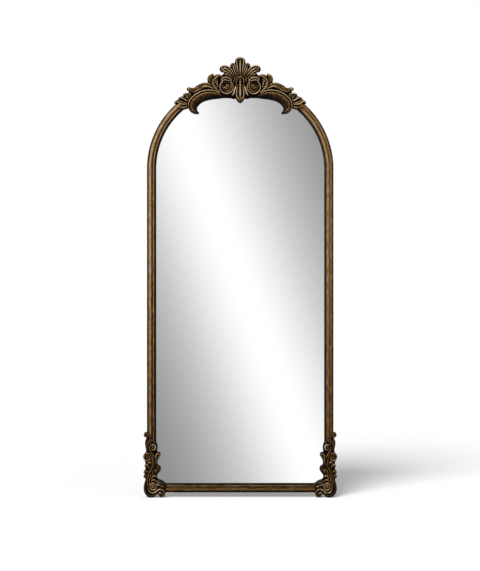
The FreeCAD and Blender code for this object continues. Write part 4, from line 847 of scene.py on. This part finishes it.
# %% Stiles, rail and arch
STREAK_WIDTH = 0.0035
STREAK_LENGTH = 0.035
DIMMING_HEIGHT = 1.1
FRAME_HALF_WIDTH = 0.409
RAIL_LOW = 0.02
SIDE_SHIFT = 7.0
BACK_SKIN = 0.0005
BACK_DULL = 0.24
GLAZE_BUMP = 0.35
SIDE_ARC = (0.032, 1.441, 0.377)
CROWN_ARC = (0.0, 1.3856, 0.441)


def along_arc(tree, parts, centre_across, centre_up, radius):
    """Distance in from an arc's outer edge, and the run along that edge."""
    over = calc(tree, "SUBTRACT", calc(tree, "ABSOLUTE", parts["X"]), centre_across)
    up = calc(tree, "SUBTRACT", parts["Z"], centre_up)
    reach = calc(tree, "SQRT", calc(tree, "ADD", calc(tree, "MULTIPLY", over, over), calc(tree, "MULTIPLY", up, up)))
    return (calc(tree, "SUBTRACT", radius, reach),
            calc(tree, "MULTIPLY", calc(tree, "ARCTAN2", up, over), radius))


def along_stile(tree, parts):
    return calc(tree, "SUBTRACT", FRAME_HALF_WIDTH, calc(tree, "ABSOLUTE", parts["X"])), parts["Z"]


def along_rail(tree, parts):
    return calc(tree, "SUBTRACT", parts["Z"], RAIL_LOW), parts["X"]


def moulding_finish(name, find_run, members, shade_lean=0.0, low=1.0, sides=True):
    """A moulding with a darker back. A shade lean lays painted shade on the outer half. Low is how much of the pale is
    left at the floor: the bands dim towards the bottom.

    Without sides, the bands of the left serve all along.
    """
    finish, tree, surface = new_finish(name)
    parts = place_parts(tree)
    across, run = find_run(tree, parts)
    bands = use_group(tree, moulding_bands)
    tree.links.new(across, bands.inputs["Across"])
    if sides:
        tree.links.new(calc(tree, "GREATER_THAN", parts["X"], 0.0), bands.inputs["Right"])
    place = combined(tree, calc(tree, "DIVIDE", across, STREAK_WIDTH), calc(tree, "DIVIDE", run, STREAK_LENGTH),
                     calc(tree, "MULTIPLY", calc(tree, "SIGN", parts["X"]), SIDE_SHIFT))
    # Painted shade on the outer half; on the rail that is the lower face, away from the light above.
    outer_shade = calc(tree, "MULTIPLY_ADD", across, shade_lean, 1.0 - shade_lean * MOULDING_WIDTH)
    # The bands dim towards the floor.
    floor_dimming = calc(tree, "MULTIPLY_ADD", calc(tree, "DIVIDE", parts["Z"], DIMMING_HEIGHT, clamp=True), 1.0 - low, low)
    wear_and_painted_light = calc(tree, "MULTIPLY", bands.outputs["Wear and painted light"], calc(tree, "MULTIPLY", outer_shade, floor_dimming))
    behind = calc(tree, "MULTIPLY", calc(tree, "GREATER_THAN", parts["Y"], FRAME_BACK - BACK_SKIN), BACK_DULL)
    bronze_finish(name, tree, surface, calc(tree, "SUBTRACT", wear_and_painted_light, behind), place, GLAZE_BUMP)
    cover(members, finish)


moulding_finish("stile_bronze", along_stile, ["right_stile", "left_stile"], low=0.68)
# On the rail the shade lean lays painted shade on the lower round, under the light from above.
moulding_finish("rail_bronze", along_rail, ["bottom_rail"], shade_lean=14.0, low=0.89, sides=False)
moulding_finish("arch_bronze", lambda tree, parts: along_arc(tree, parts, *SIDE_ARC), ["arch_right", "arch_left"])
moulding_finish("crown_bronze", lambda tree, parts: along_arc(tree, parts, *CROWN_ARC), ["arch_crown"])

# %% [markdown]
# ## The carved finish
# The same bronze lies on the castings. Their pale and dark places come from the relief: ridges are worn pale,
# hollows keep the black glaze with painted shade over it, and the outline is darkened with painted shade. A faint
# painted grey sheen sits on the broad faces.
# A shader could look for ridges by itself, but the relief knows them exactly.

# %% Bronze on the crest and the corners
carved_bronze, tree, surface = new_finish("carved_bronze")
# The relief's mask of wear and painted shade.
wear_and_shade_attribute = tree.nodes.new("ShaderNodeAttribute")
wear_and_shade_attribute.attribute_name = "wear_and_painted_light"
SPECK_SCALE = (160, 160, 160)
CARVED_BUMP = 0.3
bronze_finish("carved_bronze", tree, surface, wear_and_shade_attribute.outputs["Fac"], stretched_place(tree, SPECK_SCALE), CARVED_BUMP)
for piece in carvings:
    piece.data.materials.append(carved_bronze)

# %% [markdown]
# ## Glass and the back
# The glass is silvered float glass. Behind it lie a clear film, a hardboard back, and zinc-plated clips, plates and
# screws. Rubber blocks carry the glass, rubber bumpers keep the frame off a wall, and beech dowels hold the joints.
# A clear pane over a silver coat would be true but slow. A smooth full metal reflects in the same way.

# %% Silvered glass
silvered, tree, surface = new_finish("silvered_glass")
surface["Base Color"].default_value = (0.955, 0.96, 0.958, 1)
surface["Metallic"].default_value = 1.0
surface["Roughness"].default_value = 0.0
cover(["mirror_glass"], silvered)
print("finish", silvered.name)

# %% Fine grain shared by the plain finishes
tree, given, result = new_group(
    "fine_grain", [("Place", "Vector"), ("Dark", "Color"), ("Light", "Color"), ("Dull", "Float")],
    [("Color", "Color"), ("Roughness", "Float"), ("Height", "Float")])
coarse = noise(tree, given["Place"], 1.0, 6, 0.6)
tiny = noise(tree, given["Place"], 7.0, 3, 0.5)
grain = calc(tree, "MULTIPLY_ADD", tiny, 0.4, calc(tree, "MULTIPLY", coarse, 0.75))
blend = tree.nodes.new("ShaderNodeMix")
blend.data_type = "RGBA"
tree.links.new(grain, blend.inputs["Factor"])
tree.links.new(given["Dark"], blend.inputs["A"])
tree.links.new(given["Light"], blend.inputs["B"])
tree.links.new(blend.outputs["Result"], result["Color"])
tree.links.new(calc(tree, "MULTIPLY_ADD", grain, 0.2, given["Dull"]), result["Roughness"])
tree.links.new(grain, result["Height"])


fine_grain = tree
GRAIN_DEPTH = 0.0005


def plain_finish(name, dark, light, dull, metal, scale, strength, members):
    finish, tree, surface = new_finish(name)
    grain = use_group(tree, fine_grain)
    tree.links.new(stretched_place(tree, scale), grain.inputs["Place"])
    grain.inputs["Dark"].default_value = (*dark, 1)
    grain.inputs["Light"].default_value = (*light, 1)
    grain.inputs["Dull"].default_value = dull
    tree.links.new(grain.outputs["Color"], surface["Base Color"])
    tree.links.new(grain.outputs["Roughness"], surface["Roughness"])
    surface["Metallic"].default_value = metal
    add_bump(tree, surface, grain.outputs["Height"], strength, GRAIN_DEPTH)
    cover(members, finish)
    print("finish", name, len(members))


# %% Steel, board, rubber, film and dowels
STEEL_NODES = ["retainer_clips", "clip_screws", "brace_screws", "corner_braces", "joint_plates", "plate_screws",
               "right_hanger_strap", "left_hanger_strap", "hanger_screws", "right_hanger_ring", "left_hanger_ring",
               "crest_screws", "corner_screws"]
plain_finish("zinc_steel", (0.42, 0.42, 0.4), (0.68, 0.67, 0.62), 0.26, 1.0, (300, 300, 60), 0.12, STEEL_NODES)
plain_finish("hardboard", (0.1, 0.055, 0.028), (0.24, 0.15, 0.085), 0.7, 0.0, (140, 140, 40), 0.5, ["backing_board"])
plain_finish("black_rubber", (0.012, 0.012, 0.012), (0.03, 0.03, 0.03), 0.65, 0.0, (400, 400, 400), 0.3,
             ["setting_blocks", "wall_bumpers"])
plain_finish("clear_film", (0.5, 0.52, 0.53), (0.62, 0.64, 0.65), 0.3, 0.0, (30, 30, 30), 0.05, ["safety_film"])
plain_finish("beech", (0.42, 0.26, 0.14), (0.6, 0.42, 0.26), 0.5, 0.0, (300, 300, 30), 0.3, ["frame_dowels"])

# %% [markdown]
# ## The studio
# A pale floor runs out of view and takes the shadow. A tall graded card stands behind the camera: it glows by itself
# along slanting bands that fall off to grey between them, and the glass shows it. A far, soft lamp stands high at the
# front left. The card is seen in reflections alone, so it neither lights the floor nor throws a shadow.


# %% Floor
def sheet(name, corners):
    mesh = bpy.data.meshes.new(name)
    mesh.from_pydata(corners, [], [(0, 1, 2, 3)])
    piece = bpy.data.objects.new(name, mesh)
    scene.collection.objects.link(piece)
    return piece


floor = sheet("studio_floor", [(-40, -12, 0), (40, -12, 0), (40, 90, 0), (-40, 90, 0)])
floor.visible_glossy = False
floor_paint, tree, surface = new_finish("floor_paint")
surface["Base Color"].default_value = (0.86, 0.86, 0.86, 1)
surface["Roughness"].default_value = 0.9
surface["Specular IOR Level"].default_value = 0.0
rays = tree.nodes.new("ShaderNodeLightPath")
surface["Emission Color"].default_value = (1, 1, 1, 1)
FLOOR_GLOW = 0.16
tree.links.new(calc(tree, "MULTIPLY", rays.outputs["Is Camera Ray"], FLOOR_GLOW), surface["Emission Strength"])
floor.data.materials.append(floor_paint)
print("stage", floor.name)

# %% Card
CARD_AWAY = -6.5
card = sheet("graded_card", [(-9, CARD_AWAY, -8), (9, CARD_AWAY, -8), (9, CARD_AWAY, 10), (-9, CARD_AWAY, 10)])
card.visible_camera = False
card.visible_diffuse = False
card.visible_shadow = False
card_paint, tree, surface = new_finish("card_paint")
parts = place_parts(tree)
SLANT = 0.375
BRIGHT_HEIGHT = 0.98
BAND_REACH = 1.434
HALF_FALL = 0.555
EVEN_SHARE = 0.05
CARD_GLOW = 1.05
slanted = calc(tree, "MULTIPLY_ADD", parts["Z"], SLANT, parts["X"])
off_band = calc(tree, "DIVIDE", calc(tree, "SUBTRACT", slanted, SLANT * BRIGHT_HEIGHT), BAND_REACH)
fall = calc(tree, "DIVIDE", calc(tree, "PINGPONG", off_band, 1.0), HALF_FALL)
lit = calc(tree, "DIVIDE", 1.0, calc(tree, "MULTIPLY_ADD", fall, fall, 1.0))
glow = tree.nodes.new("ShaderNodeEmission")
glow.inputs["Color"].default_value = (1, 1, 1, 1)
tree.links.new(calc(tree, "MULTIPLY_ADD", lit, CARD_GLOW * (1 - EVEN_SHARE), CARD_GLOW * EVEN_SHARE),
               glow.inputs["Strength"])
tree.links.new(glow.outputs[0], tree.nodes["Material Output"].inputs["Surface"])
card.data.materials.append(card_paint)
print("stage", card.name)

# %% Lamp and surrounding light
lamp = bpy.data.lights.new("soft_lamp", "SUN")
lamp.energy = 2.75
lamp.angle = math.radians(30)
lamp_stand = bpy.data.objects.new("soft_lamp", lamp)
FALL_ACROSS = 0.43
FALL_BACK = 0.74
lamp_stand.rotation_euler = (math.atan(math.hypot(FALL_ACROSS, FALL_BACK)), 0, math.atan2(-FALL_ACROSS, FALL_BACK))
scene.collection.objects.link(lamp_stand)

world = bpy.data.worlds.new("white_room")
scene.world = world
world.use_nodes = True
tree = world.node_tree
room = tree.nodes["Background"]
room.inputs["Color"].default_value = (1, 1, 1, 1)
rays = tree.nodes.new("ShaderNodeLightPath")
ROOM_LIGHT = 0.32
tree.links.new(calc(tree, "MULTIPLY_ADD", rays.outputs["Is Camera Ray"], 1.0 - ROOM_LIGHT, ROOM_LIGHT),
               room.inputs["Strength"])

# %% Camera
view = bpy.data.cameras.new("view")
view.lens = 79.07
view.sensor_width = 36
camera = bpy.data.objects.new("view", view)
camera.location = (-0.0009, -5.5, 0.9276)
camera.rotation_euler = (math.pi / 2, 0, 0)
scene.collection.objects.link(camera)
scene.camera = camera
scene.view_settings.view_transform = "Standard"
print("camera", tuple(camera.location))
